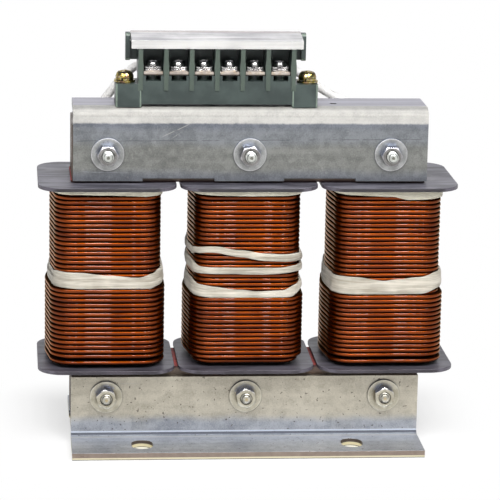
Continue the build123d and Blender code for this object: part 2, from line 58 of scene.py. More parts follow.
class Sock:
    # An output socket that adds a Math node when it is used in a sum
    def __init__(self, tree, socket):
        self.tree = tree
        self.socket = socket

    def __add__(self, other):
        return self.tree.maths("ADD", self, other)

    def __sub__(self, other):
        return self.tree.maths("SUBTRACT", self, other)

    def __rsub__(self, other):
        return self.tree.maths("SUBTRACT", other, self)

    def __mul__(self, other):
        return self.tree.maths("MULTIPLY", self, other)

    def __gt__(self, other):
        return self.tree.maths("GREATER_THAN", self, other)

    def __lt__(self, other):
        return self.tree.maths("LESS_THAN", self, other)

    def __abs__(self):
        return self.tree.maths("ABSOLUTE", self)

    __radd__ = __add__
    __rmul__ = __mul__


class Tree:
    # A node tree with one way to add any node
    def __init__(self, tree):
        self.tree = tree

    def node(self, kind, sockets=(), output=0, **settings):
        made = self.tree.nodes.new("ShaderNode" + kind)
        for setting, value in settings.items():
            setattr(made, setting, value)
        for key, value in sockets.items() if isinstance(sockets, dict) else enumerate(sockets):
            self.feed(made.inputs[key], value)
        return Sock(self, made.outputs[output])

    def feed(self, socket, value):
        if isinstance(value, Sock):
            self.tree.links.new(value.socket, socket)
        else:
            socket.default_value = value

    def maths(self, operation, *values):
        return self.node("Math", values, operation=operation)

    def length(self, a, b):
        return self.maths("SQRT", a * a + b * b)

    def blend(self, share, first, second):
        # From one colour to the other; a plain one is given as red, green and blue from 0 to 255
        first, second = (c if isinstance(c, Sock) else tone(*c) for c in (first, second))
        return self.node("Mix", {0: share, 6: first, 7: second}, 2, data_type="RGBA")

    def between(self, value, low, high):
        # 0 below low, 1 above high and a smooth step from one to the other
        sockets = {"Value": value, "From Min": low, "From Max": high}
        return self.node("MapRange", sockets, interpolation_type="SMOOTHSTEP")

    def band(self, value, low, full, fading, high):
        # 1 from full to fading, and 0 below low and above high
        return self.between(value, low, full) * (1 - self.between(value, fading, high))


class Finish(Tree):
    # A material: its even values go straight on the shader, the rest is fed by nodes
    def __init__(self, name, even):
        self.material = bpy.data.materials.new(name)
        self.material.use_nodes = True
        super().__init__(self.material.node_tree)
        self.shader = self.tree.nodes["Principled BSDF"]
        for socket, value in even.items():
            self.shader.inputs[socket].default_value = value
        self.place = self.node("TexCoord", output="Object")

    def grain(self, scale, detail=2.0, rough=0.5, output=0):
        # Noise, stretched along the axes where the scale has three values
        place = self.place
        if isinstance(scale, tuple):
            place, scale = self.node("Mapping", {"Vector": place, "Scale": scale}), 1.0
        sockets = {"Vector": place, "Scale": scale, "Detail": detail, "Roughness": rough}
        return self.node("TexNoise", sockets, output)

    def along(self, axis):
        # Millimetres from the frame's origin
        return self.node("SeparateXYZ", [self.place], "XYZ".index(axis)) * (1 / mm)

    def facing(self, axis):
        return self.node("SeparateXYZ", [self.node("TexCoord", output="Normal")], "XYZ".index(axis))

    def edges(self, rounded=0.9, flat=0.975):
        # 1 on rounded edges, where the surface looks along none of the three axes
        x, y, z = (abs(self.facing(axis)) for axis in "XYZ")
        return 1 - self.between(self.maths("MAXIMUM", self.maths("MAXIMUM", x, y), z), rounded, flat)

    def fromStud(self):
        # Distance from the axis of the nearest stud
        low, high = studHeight.values()
        x = self.maths("WRAP", self.along("X"), coilPitch / 2, -coilPitch / 2)
        z = self.along("Z")
        return self.length(x, z - low - (high - low) * (z > (low + high) / 2))

    def finished(self, height, depth, strength, **fed):
        # The material, once the other sockets are fed and it has a bump whose full swing is depth
        bump = self.node("Bump", {"Height": height, "Distance": depth * mm, "Strength": strength})
        for socket, value in {"Normal": bump, **fed}.items():
            self.feed(self.shader.inputs[socket.replace("_", " ")], value)
        return self.material


def scratch(f, start, end, width):
    # A straight, broken scratch between two points of a face, each given along X and Z
    (x0, z0), (x1, z1) = start, end
    x, z = f.along("X"), f.along("Z")
    wander = 0.7 * (f.grain(160.0) - 0.5)
    aside = abs(z - z0 - (x - x0) * ((z1 - z0) / (x1 - x0)) + wander)
    broken = f.between(f.grain(190.0), 0.36, 0.52)
    return (1 - f.between(aside, width * 0.3, width)) * f.band(x, x0, x0 + 3, x1 - 3, x1) * broken


def galvanisedFinish(name, look):
    # Hot-dipped sheet: faint crystals under soft clouds, rolling marks, specks and a few scratches
    f = Finish(name, {"Metallic": 0.75})
    warp = f.node("VectorMath", [f.grain(130.0, output="Color"), (0.006, 0.006, 0.006), f.place],
                  operation="MULTIPLY_ADD")
    crystals = f.node("TexVoronoi", {"Vector": warp, "Scale": look["spangle"]}, "Color")
    spangle = f.node("SeparateColor", [crystals])
    cloud = f.grain(look["cloud"], 4.0, 0.55)
    mottle = f.grain(240.0, 3.0, 0.6)
    dust = f.grain(1300.0)
    rolled = f.grain(look["rolled"], 3.0)
    level = f.between(0.07 * spangle + 0.2 * cloud + 0.3 * mottle + 0.28 * dust + 0.25 * rolled, 0.38, 0.68)
    colour = f.blend(level, *look["tones"])
    height, depth = f.along("Z"), f.along("Y")
    for low, high, share, *tones in look["bands"]:
        # A soft band of another tone between two heights, ragged at its edges
        inside = f.band(height + 6 * (cloud - 0.5), low - 3, low + 3, high - 3, high + 3)
        colour = f.blend(inside * share, colour, f.blend(level, *tones))
    scale, share, shade = look["specks"]
    colour = f.blend(share * f.between(f.grain(scale, 1.0), 0.7, 0.74), colour, shade)
    hair = f.between(f.grain((26.0, 1300.0, 1300.0), 1.0), 0.73, 0.77)
    colour = f.blend(hair * 0.25, colour, look["tones"][1])
    for start, end, width, share, shade in look["scratches"]:
        colour = f.blend(scratch(f, start, end, width) * share, colour, shade)
    rough = 0.3 + 0.1 * cloud + 0.1 * mottle - 0.1 * hair
    if "bend" in look:
        # The outer face of the bend gets a painted highlight, and the plane above it a greyer painted shade
        bend = look["bend"]
        onTop = f.between(depth, *bend["rear"])
        bendHighlight = f.between(height + 1.2 * (mottle - 0.5), *bend["start"]) * (1 - onTop)
        flat, curve, edge = (f.blend(level, *pair) for pair in bend["tones"])
        curved = f.between(height, *bend["curve"])
        shade = f.blend(f.between(height, *bend["edge"]), f.blend(curved, flat, curve), edge)
        colour = f.blend(bendHighlight, colour, shade)
        plane = f.blend(f.between(rolled, 0.35, 0.65), *bend["planeShadeTones"])
        colour = f.blend((height > bend["plane"]) * onTop, colour, plane)
        rough = rough + 0.25 * bendHighlight * curved
    if "foot" in look:
        # Painted shade and a painted highlight in the inner corner above the foot, and painted light on the
        # pale strip in front of them
        foot = look["foot"]
        away = abs(depth)
        for limits, shade in foot["creaseShading"]:
            colour = f.blend(0.9 * f.band(height, *limits) * (away < foot["corner"]), colour, shade)
        near, low, high = foot["strip"]
        strip = (1 - f.between(away, *foot["stripEnd"])) * (away > near) * (height > low) * (height < high)
        colour = f.blend(strip * 0.6, colour, foot["stripLightTone"])
        rough = rough + 0.35 * f.band(height, *foot["dull"])
        # Sheared edges of the foot and of its slots: brown where the zinc is thin, darker in the slots,
        # partly painted shade, pale at the bottom as a painted reflection of the floor, and darkest at the
        # very bottom as a painted contact shadow
        sheared = (1 - f.between(height, *foot["sheet"])) * (1 - f.between(f.facing("Z"), 0.3, 0.6))
        slot = away < foot["slot"]
        web = f.blend(slot, f.blend(mottle, *foot["frontTones"]), f.blend(mottle, *foot["slotTones"]))
        web = f.blend(1 - f.between(height - 0.8 * slot, *foot["burr"]), web, foot["burrReflectionTone"])
        web = f.blend(1 - f.between(height, *foot["floor"]), web, foot["floorTone"])
        colour = f.blend(sheared * 0.95, colour, web)
    bumps = 0.3 * spangle + 0.5 * dust + 0.5 * mottle + 0.4 * rolled + 0.4 * hair
    return f.finished(bumps, 0.05, 0.5, Base_Color=colour, Roughness=rough)


upperSheet = galvanisedFinish("galvanised_upper", {
    "spangle": 210.0, "cloud": 30.0, "rolled": (10.0, 260.0, 260.0),
    "tones": ((108, 109, 106), (142, 143, 139)), "specks": (420.0, 0.12, (196, 194, 188)),
    # Each band: lowest and highest place, share and tones; each scratch: its ends, width, share and tone
    # The first two bands are painted shade: the darker blue-grey on the face just under the bright bend
    "bands": [(165.5, 181.5, 0.75, (104, 108, 114), (136, 140, 146)),
              (174.5, 181.5, 0.6, (88, 93, 106), (122, 127, 140)),
              (140.0, 150.5, 0.7, (98, 102, 112), (126, 130, 140))],
    "scratches": [((-94.0, 167.3), (94.0, 168.6), 0.35, 0.5, (74, 74, 78)),
                  ((-48.2, 169.1), (-31.3, 177.2), 0.3, 0.6, (190, 188, 182)),
                  ((-42.9, 168.0), (-35.5, 173.4), 0.25, 0.45, (186, 184, 178)),
                  ((-90.6, 150.6), (-64.0, 150.1), 0.3, 0.5, (170, 172, 180))],
    # Heights where the painted highlight on the bend starts, turns and meets its edge, with its tones in
    # that order, and the depth where it ends at the plane on top, whose tones are painted shade
    "bend": {"start": (176.3, 177.5), "curve": (179.3, 180.9), "edge": (182.6, 183.8),
             "tones": [((188, 186, 182), (210, 208, 203)), ((146, 145, 141), (172, 170, 165)),
                       ((180, 178, 173), (202, 200, 194))],
             "plane": 185.0, "rear": (-14.6, -13.8), "planeShadeTones": ((150, 148, 156), (172, 170, 180))}})
lowerSheet = galvanisedFinish("galvanised_lower", {
    "spangle": 170.0, "cloud": 34.0, "rolled": (14.0, 220.0, 220.0),
    "tones": ((141, 145, 152), (180, 183, 189)), "specks": (640.0, 0.75, (84, 78, 72)),
    "bands": [(13.5, 40.0, 0.95, (168, 161, 145), (200, 193, 176))],
    "scratches": [((-54.0, 12.4), (-40.0, 12.0), 1.6, 0.5, (118, 122, 134))],
    # In the foot, painted shade and a painted highlight in the crease, then painted light on the strip in
    # front
    "foot": {"creaseShading": [((4.2, 4.6, 5.4, 5.7), (84, 88, 98)), ((5.6, 5.8, 6.3, 6.6), (212, 219, 232))],
             "corner": 25.1, "strip": (24.9, 3.9, 4.3), "stripEnd": (26.5, 28.5),
             "stripLightTone": (206, 204, 196), "dull": (4.2, 4.6, 6.0, 6.3), "sheet": (3.7, 4.1), "slot": 54.2,
             # Tones of the sheared edges; the slot tones are partly painted shade, the pale tone at the burr
             # a painted reflection of the floor and the floor tone a painted contact shadow
             "frontTones": ((122, 108, 98), (160, 144, 131)), "slotTones": ((70, 62, 60), (100, 88, 82)),
             "burr": (1.1, 1.4), "burrReflectionTone": (226, 217, 186),
             "floor": (0.3, 0.5), "floorTone": (70, 68, 68)}})


def platedFinish(name, look):
    # Plated small hardware: fine tumbling marks, slightly cloudy, with patches of other tones
    f = Finish(name, {"Metallic": 1.0})
    cloud, marks = f.grain(260.0, 3.0), f.grain(2600.0)
    colour = f.blend(f.between(0.7 * cloud + 0.3 * marks, 0.36, 0.64), *look["tones"])
    for scale, share, shade in look["patches"]:
        colour = f.blend(f.between(f.grain(scale), 0.52, 0.62) * share, colour, shade)
    if "under" in look:
        # Painted shade on the undersides that lie in the dark of the terminal cells
        colour = f.blend(f.band(f.along("Z"), *look["under"]) * 0.85, colour, (40, 38, 38))
    return f.finished(marks, look["fine"], 0.4, Base_Color=colour, Roughness=look["rough"] + 0.14 * cloud)


nickelPlate = platedFinish("nickel_plate", {
    "tones": ((128, 126, 126), (206, 204, 202)), "rough": 0.1, "fine": 0.003, "patches": []})
barPlate = platedFinish("bar_plate", {
    "tones": ((176, 164, 154), (216, 206, 196)), "rough": 0.24, "fine": 0.01,
    "patches": [(520.0, 0.4, (172, 146, 104))], "under": (199.9, 200.0, 202.6, 202.7)})
yellowZinc = platedFinish("yellow_zinc", {
    "tones": ((88, 76, 36), (196, 176, 96)), "rough": 0.16, "fine": 0.01,
    "patches": [(480.0, 0.6, (150, 112, 104)), (390.0, 0.5, (112, 128, 84)), (700.0, 0.4, (222, 214, 196))]})


def zincFinish(name, rough, parts):
    # Zinc-plated pieces on the studs. A part is a ring about the stud, given by its two radii, or a named
    # one, with two tones in the upper row and two in the lower. The tones paint light: lighter rings on rims
    # and chamfers are painted highlights, the sides and tops carry painted reflections, bluish on many, and
    # each row has its own tones for how the light falls on it.
    f = Finish(name, {"Metallic": 1.0})
    cloud, marks = f.grain(260.0, 3.0), f.grain(2600.0)
    level = f.between(0.6 * cloud + 0.4 * marks, 0.36, 0.64)
    lowRow = 1 - f.between(f.along("Z"), 60, 80)
    distance = f.fromStud()
    upward = f.facing("Z")
    flatOn = f.between(abs(f.facing("Y")), 0.5, 0.7)
    # The ring on the chamfer is a painted highlight; the sides and tops carry painted reflections
    named = {
        "ringHighlight": f.between(upward, 0.1, 0.3) * flatOn * f.between(distance, 4.6, 4.8),
        "sides": 1 - flatOn,
        "top": (1 - flatOn) * f.between(upward, 0.3, 0.5),
    }
    colour = (128, 128, 126)
    for part, *tones in parts:
        if part in named:
            inside = named[part]
        else:
            inner, outer = part
            inside = f.band(distance, inner - 0.1, inner + 0.1, outer - 0.1, outer) * flatOn
        upper, lower = (f.blend(level, *pair) for pair in (tones[:2], tones[2:]))
        colour = f.blend(inside, colour, f.blend(lowRow, upper, lower))
    return f.finished(marks, 0.01, 0.5, Base_Color=colour, Roughness=rough + 0.14 * cloud)


washerZinc = zincFinish("washer_zinc", 0.3, [
    ((-10, 20), (146, 147, 146), (182, 183, 182), (172, 166, 148), (202, 196, 178)),
    ((8.3, 9.2), (170, 170, 170), (204, 204, 204), (186, 181, 166), (212, 207, 192)),
    ("ringHighlight", (214, 214, 216), (240, 240, 242), (196, 192, 180), (222, 218, 208)),
    ("sides", (112, 122, 142), (160, 168, 184), (92, 88, 84), (140, 134, 124)),
    ("top", (120, 132, 156), (178, 188, 204), (40, 48, 76), (62, 70, 98))])
nutZinc = zincFinish("nut_zinc", 0.22, [
    ((-10, 20), (122, 120, 118), (156, 154, 152), (176, 170, 152), (206, 200, 182)),
    ((4.8, 6.2), (150, 148, 150), (186, 184, 186), (176, 171, 154), (206, 201, 186)),
    ("ringHighlight", (216, 214, 220), (244, 242, 246), (206, 203, 196), (232, 229, 222)),
    ("sides", (84, 84, 86), (120, 120, 122), (120, 114, 104), (160, 152, 138)),
    ("top", (126, 134, 158), (172, 180, 200), (74, 84, 126), (108, 120, 160))])
studZinc = zincFinish("stud_zinc", 0.26, [
    ((-10, 20), (188, 190, 184), (222, 224, 218), (160, 158, 148), (214, 208, 192)),
    ((-10, 0.9), (112, 112, 104), (140, 140, 130), (176, 160, 124), (206, 190, 160)),
    ("sides", (92, 92, 90), (136, 136, 134), (78, 78, 76), (118, 118, 114))])


def mouldedFinish(name, look):
    # Glass-filled plastic: soft flow marks, a fine sparked grain, rubbed patches and a painted highlight in
    # the rim tone on the rounded edges
    f = Finish(name, {})
    flow = f.grain(look["swirl"], 4.0, 0.55)
    rubbed = f.between(f.grain(95.0, 3.0), 0.56, 0.7)
    colour = f.blend(f.between(flow, 0.34, 0.66), *look["tones"])
    colour = f.blend(rubbed * 0.25, colour, look["tones"][1])
    if "barriers" in look:
        # A painted highlight on the front faces of the barriers
        area = look["barriers"]
        inside = (1 - f.between(f.along("Y"), *area["front"])) * f.between(f.along("Z"), *area["foot"])
        inside = inside * (1 - f.between(abs(f.along("X") - area["middle"]), *area["ends"]))
        colour = f.blend(inside * 0.9, colour, f.blend(flow, *area["tones"]))
    if "flanges" in look:
        # A streaked painted sheen on the tops of the flanges, half as strong on the lower ones, and painted
        # shade on the fronts of the upper ones
        area = look["flanges"]
        upper = f.between(f.along("Z"), *area["upper"])
        streak = f.between(f.grain((30.0, 260.0, 260.0), 4.0, 0.6), 0.36, 0.64)
        upward = f.between(f.facing("Z"), 0.6, 0.8) * (0.5 + 0.5 * upper)
        colour = f.blend(upward, colour, f.blend(streak, *area["topSheenTones"]))
        shaded = upper * (f.facing("Y") < -0.6)
        colour = f.blend(shaded * 0.85, colour, f.blend(flow, *area["frontTones"]))
    # A painted highlight in the rim tone on the rounded edges, broken up
    broken = f.between(f.grain(300.0), 0.3, 0.5)
    colour = f.blend(f.edges() * (0.35 + 0.5 * broken), colour, look["rim"])
    return f.finished(0.7 * f.grain(2100.0) + 0.3 * flow, look["grain"], 0.7, Base_Color=colour,
                      Roughness=look["rough"] + 0.12 * flow - 0.08 * rubbed)


formerPlastic = mouldedFinish("former_plastic", {
    "tones": ((46, 42, 49), (66, 61, 69)), "rim": (92, 88, 98), "rough": 0.36, "swirl": 60.0, "grain": 0.05,
    "flanges": {"upper": (120, 130), "topSheenTones": ((58, 56, 64), (110, 108, 118)),
                "frontTones": ((30, 28, 32), (44, 42, 46))}})
blockPlastic = mouldedFinish("block_plastic", {
    "tones": ((44, 54, 52), (60, 71, 68)), "rim": (124, 138, 126), "rough": 0.34, "swirl": 80.0,
    "grain": 0.03, "barriers": {"front": (-19.9, -19.5), "foot": (193.5, 194.2), "middle": -17.85,
                               "ends": (42.1, 42.3), "tones": ((58, 69, 62), (80, 91, 81))}})


def enamelFinish(look):
    # Copper under a baked brown enamel, thicker and darker here and there
    f = Finish("copper_enamel", {"Specular IOR Level": 0.0, "Specular Tint": tone(*look["rim"]),
                                 "Coat Roughness": 0.08})
    runs = f.grain((26.0, 26.0, 400.0))
    cloud = f.grain(60.0, 3.0)
    colour = f.blend(f.between(0.6 * runs + 0.4 * cloud, 0.34, 0.66), *look["tones"])
    # Painted shade in the grooves between the turns, most on the sides, where the wire is also made less
    # metallic and has no coat
    across, ahead, steep = (abs(f.facing(axis)) for axis in "XYZ")
    grooveShade = f.between(steep + 0.12 * f.between(across - ahead, 0.0, 0.2), *look["slope"])
    colour = f.blend(grooveShade * 0.96, colour, look["grooveShade"])
    return f.finished(cloud, 0.004, 0.1, Base_Color=colour, Roughness=look["rough"] + 0.05 * cloud,
                      Metallic=1 - 0.9 * grooveShade, Coat_Weight=look["coat"] * (1 - grooveShade))


copperEnamel = enamelFinish({
    "tones": ((101, 37, 0), (140, 60, 0)), "rim": (252, 226, 184), "grooveShade": (14, 4, 2),
    "slope": (0.46, 0.72), "rough": 0.34, "coat": 0.4})


def laminationFinish():
    # Silicon steel edges with varnish that has run between the sheets
    f = Finish("lamination_steel", {"Metallic": 0.55})
    sheet = f.grain((4.0, 1900.0, 4.0), 1.0)
    varnish = f.between(f.grain(46.0, 4.0, 0.6), 0.4, 0.62)
    colour = f.blend(varnish * 0.75, f.blend(sheet, (82, 74, 67), (130, 120, 110)), (86, 58, 42))
    return f.finished(sheet, 0.05, 0.5, Base_Color=colour, Roughness=0.52 - 0.2 * varnish,
                      Coat_Weight=0.7 * varnish)


def paperFinish(name, rough, dark, light, edgeShade=None):
    # Pressed paper, whose long edges may be darkened with painted shade
    f = Finish(name, {"Roughness": rough})
    fibre = f.grain((300.0, 900.0, 900.0), 4.0)
    colour = f.blend(f.between(fibre, 0.3, 0.7), dark, light)
    if edgeShade:
        edge, shade = edgeShade
        colour = f.blend(0.9 * f.between(abs(f.along("Y")), *edge), colour, shade)
    return f.finished(fibre, 0.03, 0.6, Base_Color=colour)


def tapeFinish():
    # Flat polyester lacing tape: long fibres round the coil, a little soiled
    f = Finish("lacing_fabric", {"Roughness": 0.7, "Sheen Weight": 0.15, "Sheen Roughness": 0.5})
    fibre = f.grain((70.0, 70.0, 1500.0), 3.0, 0.6)
    fold = f.grain((24.0, 24.0, 420.0))
    level = f.between(0.35 * fibre + 0.35 * fold + 0.3 * f.grain(70.0, 4.0), 0.36, 0.62)
    waistTape = f.blend(level, (146, 139, 125), (203, 197, 184))
    brightenedTopTape = f.blend(level, (196, 190, 168), (236, 231, 212))  # under the flanges, painted lighter to make up for their shade
    colour = f.blend(f.between(f.along("Z"), 128, 132), waistTape, brightenedTopTape)
    return f.finished(0.6 * fibre + fold, 0.12, 0.6, Base_Color=colour)


def braidFinish():
    # Varnished glass-fibre sleeve; its plait is in the mesh
    f = Finish("sleeve_braid", {"Roughness": 0.55, "Sheen Weight": 0.1, "Sheen Roughness": 0.5})
    strand = f.grain(2600.0)
    level = f.between(0.6 * f.grain(80.0, 4.0) + 0.4 * strand, 0.35, 0.65)
    return f.finished(strand, 0.04, 0.6, Base_Color=f.blend(level, (234, 232, 228), (252, 251, 249)))


def clearFinish():
    # Clear polycarbonate gone slightly milky, with long streaks from the mould, a rosy rear and a pale lip
    f = Finish("clear_cover", {"Transmission Weight": 0.45, "IOR": 1.49})
    streak = f.grain((9.0, 420.0, 420.0), 3.0, 0.6)
    level = f.between(0.65 * streak + 0.35 * f.grain(60.0, 3.0), 0.36, 0.62)
    depth = f.along("Y")
    colour = f.blend(level, (160, 158, 163), (232, 231, 230))
    colour = f.blend(0.5 * f.between(depth, -7.5, -5.0), colour, (206, 194, 190))
    colour = f.blend(0.6 * (1 - f.between(depth, -20.3, -19.8)), colour, (252, 251, 247))
    return f.finished(streak, 0.1, 0.4, Base_Color=colour, Roughness=0.12 + 0.18 * streak)


laminationSteel = laminationFinish()
# The long edges of the gap paper get painted shade where they lie between core and clamp
gapPaper = paperFinish("gap_paper", 0.6, (124, 34, 30), (172, 58, 48), ((18.2, 18.8), (34, 26, 26)))
sleevePaper = paperFinish("sleeve_paper", 0.62, (176, 158, 120), (204, 188, 150))
lacingFabric = tapeFinish()
sleeveBraid = braidFinish()
clearPlastic = clearFinish()
print("finishes ready")


def placed(name, data):
    # A new object in the scene
    made = bpy.data.objects.new(name, data)
    bpy.context.scene.collection.objects.link(made)
    return made


def evaluated(carrier):
    # The mesh of an object with its modifiers, or the line of a curve; the object itself goes
    made = bpy.data.meshes.new_from_object(carrier.evaluated_get(bpy.context.evaluated_depsgraph_get()))
    bpy.data.objects.remove(carrier)
    return made


def meshFrom(name, points, faces, weld=None):
    # A mesh whose faces look outward, with points nearer than weld joined
    mesh = bpy.data.meshes.new(name)
    mesh.from_pydata(points, [], faces)
    built = bmesh.new()
    built.from_mesh(mesh)
    if weld:
        bmesh.ops.remove_doubles(built, verts=built.verts, dist=weld)
    bmesh.ops.recalc_face_normals(built, faces=built.faces)
    built.to_mesh(mesh)
    built.free()
    return mesh


def settle(mesh, name, finish, body, node, sharp):
    mesh.shade_smooth()
    mesh.set_sharp_from_angle(angle=math.radians(sharp))
    mesh.materials.append(finish)
    piece = placed(name, mesh)
    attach(piece, body)
    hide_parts(node)
    return piece


def around(sides):
    # Even angles round a circle
    return [2 * math.pi * i / sides for i in range(sides)]


def polar(reach, angle, height, centre, axis="Z"):
    # Point about an axis through the centre that stands upright or lies along the depth
    x, y, z = centre
    a, b = reach * math.cos(angle), reach * math.sin(angle)
    return (x + a, y + b, z + height) if axis == "Z" else (x + a, y + height, z + b)


def mirrored(half, thick):
    # A profile of (radius, height) and its mirror image at the other side of a thickness
    return half + [(radius, thick - height) for radius, height in half[::-1]]


def smoothed(share):
    share = min(1.0, max(0.0, share))
    return share * share * (3 - 2 * share)


def followTable(table, value, even=False):
    # Line through (value, height) pairs in rising order, straight between them or smooth
    if value <= table[0][0]:
        return table[0][1]
    for (a, low), (b, high) in zip(table, table[1:]):
        if value <= b:
            share = (value - a) / (b - a)
            return low + (high - low) * (share if even else smoothed(share))
    return table[-1][1]


class Shape:
    # Gathers the points and faces of the parts that make one piece
    def __init__(self):
        self.points = []
        self.faces = []

    def add(self, points, faces):
        base = len(self.points)
        self.points += [tuple(p) for p in points]
        self.faces += [[i + base for i in face] for face in faces]

    def rows(self, rows, loop=False):
        # Skin over closed rows of points; loop joins the last row to the first, else both ends are closed
        count = len(rows[0])
        faces = []
        for r in range(len(rows) if loop else len(rows) - 1):
            one, two = r * count, (r + 1) % len(rows) * count
            faces += [[one + i, one + (i + 1) % count, two + (i + 1) % count, two + i] for i in range(count)]
        if not loop:
            faces.append(list(range(count))[::-1])
            faces.append([(len(rows) - 1) * count + i for i in range(count)])
        self.add([p for row in rows for p in row], faces)

    def turned(self, profile, centre, axis="Z", sides=48, ring=False):
        # Lathe: profile is (radius, height along the axis)
        self.rows([[polar(radius, angle, height, centre, axis) for angle in around(sides)]
                   for radius, height in profile], ring)

    def piece(self, name, finish, slot, node, sharp=35.0):
        points = [(x * mm, y * mm, z * mm) for x, y, z in self.points]
        settle(meshFrom(name, points, self.faces), name, finish, "reactor", node, sharp)


winding = {
    "wire": 2.45, "bottom": 46.1, "top": 141.2, "pitch": 2.5, "layers": (22.75, 25.4, 27.975, 30.4),
    "corner": 9.375, "sideBow": 0.2, "wander": 0.05, "loose": 0.03, "uneven": 0.045, "seed": 11,
    # Steps along a face and round a corner, and sides of the wire, for the outer and the hidden layers
    "fine": (40, 7, 12), "coarse": (4, 3, 6),
    "lowTurns": {"left": (47.35, 50.9), "middle": (50.3, 52.8), "right": (47.35, 50.9)},
    "outerTop": {"left": 87.1, "middle": 82.2, "right": 83.3},
    # Zones along the front face: where each ends and the slope of its bow there, in degrees. They break up
    # the highlights on the wires, as the kinks of a hand-wound coil do.
    "lean": {
        "left": [(-18.6, 0.40), (-16.8, 0.51), (-16.2, -0.9), (-13.3, -0.78), (-12.0, 0.70), (1.6, 1.5),
                 (3.2, -1.33), (12.8, -0.82), (13.5, -2.5), (15.0, -2.42), (15.7, -0.05), (18.6, 0.08)],
        "middle": [(-18.6, -0.21), (-16.4, -0.08), (-15.7, -1.2), (-14.1, -1.1), (-13.0, 0.1), (-7.8, 0.38),
                   (-6.0, -0.71), (8.2, 0.06), (9.2, 1.26), (12.7, 1.46), (13.6, -0.2), (18.6, 0.05)],
        "right": [(-18.6, -0.75), (-15.8, -0.61), (-15.1, 0.57), (-13.9, 0.65), (-13.1, -0.46),
                  (-11.4, -0.34), (-9.8, -1.44), (2.2, -0.85), (4.0, 0.45), (10.0, 0.79), (11.4, 2.0),
                  (13.3, 2.1), (14.0, 0.99), (15.2, 1.06), (16.0, 2.25), (18.6, 2.39)],
    },
    "shift": {"left": -0.2, "middle": -1.0, "right": -0.5},
    # Left side of each coil: how far it is drawn in at its corners, how far it swells between them and its
    # half depth
    "swell": {"left": (1.0, 2.0, 21.0), "middle": (0.9, 2.0, 21.0), "right": (0.5, 2.0, 21.0)},
}


def facePath(lean, reach, steps):
    # Outward bow of the front face at even steps from one end to the other, from its lean
    marks = [-reach + 2 * reach * i / steps for i in range(steps + 1)]
    bow = [0.0]
    for a, b in zip(marks, marks[1:]):
        bow.append(bow[-1] + (b - a) * math.tan(math.radians(followTable(lean, (a + b) / 2, even=True))))
    return [(x, out - bow[-1] * i / steps) for i, (x, out) in enumerate(zip(marks, bow))]


def swollen(x, y, drawn, swell, deep):
    # Place across a coil whose left side is drawn in at its corners and swells between them
    half = winding["layers"][-1]
    x += drawn * (half - x) / (2 * half)
    return x - swell * max(0.0, 1 - (y / deep) ** 2) ** 2 if x < -half / 2 else x


def squareTurn(half, corner, lean, steps, arcSteps):
    # One turn seen from above, from the middle of the rear face and round by the left side.
    # Each station has its place, its outward direction and how far the wire has climbed at the rear.
    flat = half - corner
    few = max(4, steps // 2)
    middle = few // 2
    bow = [winding["sideBow"] * (1 - (2 * i / few - 1) ** 2) for i in range(few + 1)]
    run = [flat * (1 - 2 * i / few) for i in range(few + 1)]
    rear = [(x, half + out) for x, out in zip(run, bow)]
    stations = []

    def face(points, nx, ny, climb=[0.0] * (steps + 1)):
        stations.extend((x, y, nx, ny, rise) for (x, y), rise in zip(points, climb))

    def arc(cx, cy, start):
        for i in range(1, arcSteps):
            angle = math.radians(start + 90 * i / arcSteps)
            stations.append((cx + corner * math.cos(angle), cy + corner * math.sin(angle),
                             math.cos(angle), math.sin(angle), 0.0))

    face(rear[middle:], 0, 1, [-0.5 + 0.5 * smoothed(i / (few - middle)) for i in range(few - middle + 1)])
    arc(-flat, flat, 90)
    face([(-half - out, y) for y, out in zip(run, bow)], -1, 0)
    arc(-flat, -flat, 180)
    face([(x, -half - out) for x, out in facePath(lean, flat, steps)], 0, -1)
    arc(flat, -flat, 270)
    face([(half + out, -y) for y, out in zip(run, bow)], 1, 0)
    arc(flat, flat, 0)
    face(rear[:middle], 0, 1, [0.5 * smoothed(i / middle) for i in range(middle)])
    return stations


def windLayer(shape, x0, heights, half, lean, detail, dice, swell=(0.0, 0.0, 1.0)):
    # One wire wound turn by turn at the given heights
    steps, arcSteps, sides = winding[detail]
    radius, wander = winding["wire"] / 2, winding["wander"]
    stations = squareTurn(half, winding["corner"] + half - winding["layers"][2], lean, steps, arcSteps)
    section = [(radius * math.cos(angle), radius * math.sin(angle)) for angle in around(sides)]
    rows = []
    for turn, height in enumerate(heights):
        below = heights[max(turn - 1, 0)]
        above = heights[min(turn + 1, len(heights) - 1)]
        loose, shift = dice.gauss(0, winding["loose"]), dice.gauss(0, winding["uneven"])
        for x, y, nx, ny, climb in stations:
            z = height + shift + climb * (height - below if climb < 0 else above - height)
            z += 0.8 * wander * noise.noise(Vector((x * 0.05 + 9, y * 0.05, turn * 5.1 + x0)))
            wave = noise.noise(Vector((x * 0.06, y * 0.06, turn * 3.7 + x0)))
            out = 2 * loose * abs(nx * ny) + 0.12 * wander * wave
            px, py = x0 + swollen(x, y, *swell) + nx * out, y + ny * out
            rows.append([(px + nx * a, py + ny * a, z + b) for a, b in section])
    shape.rows(rows)


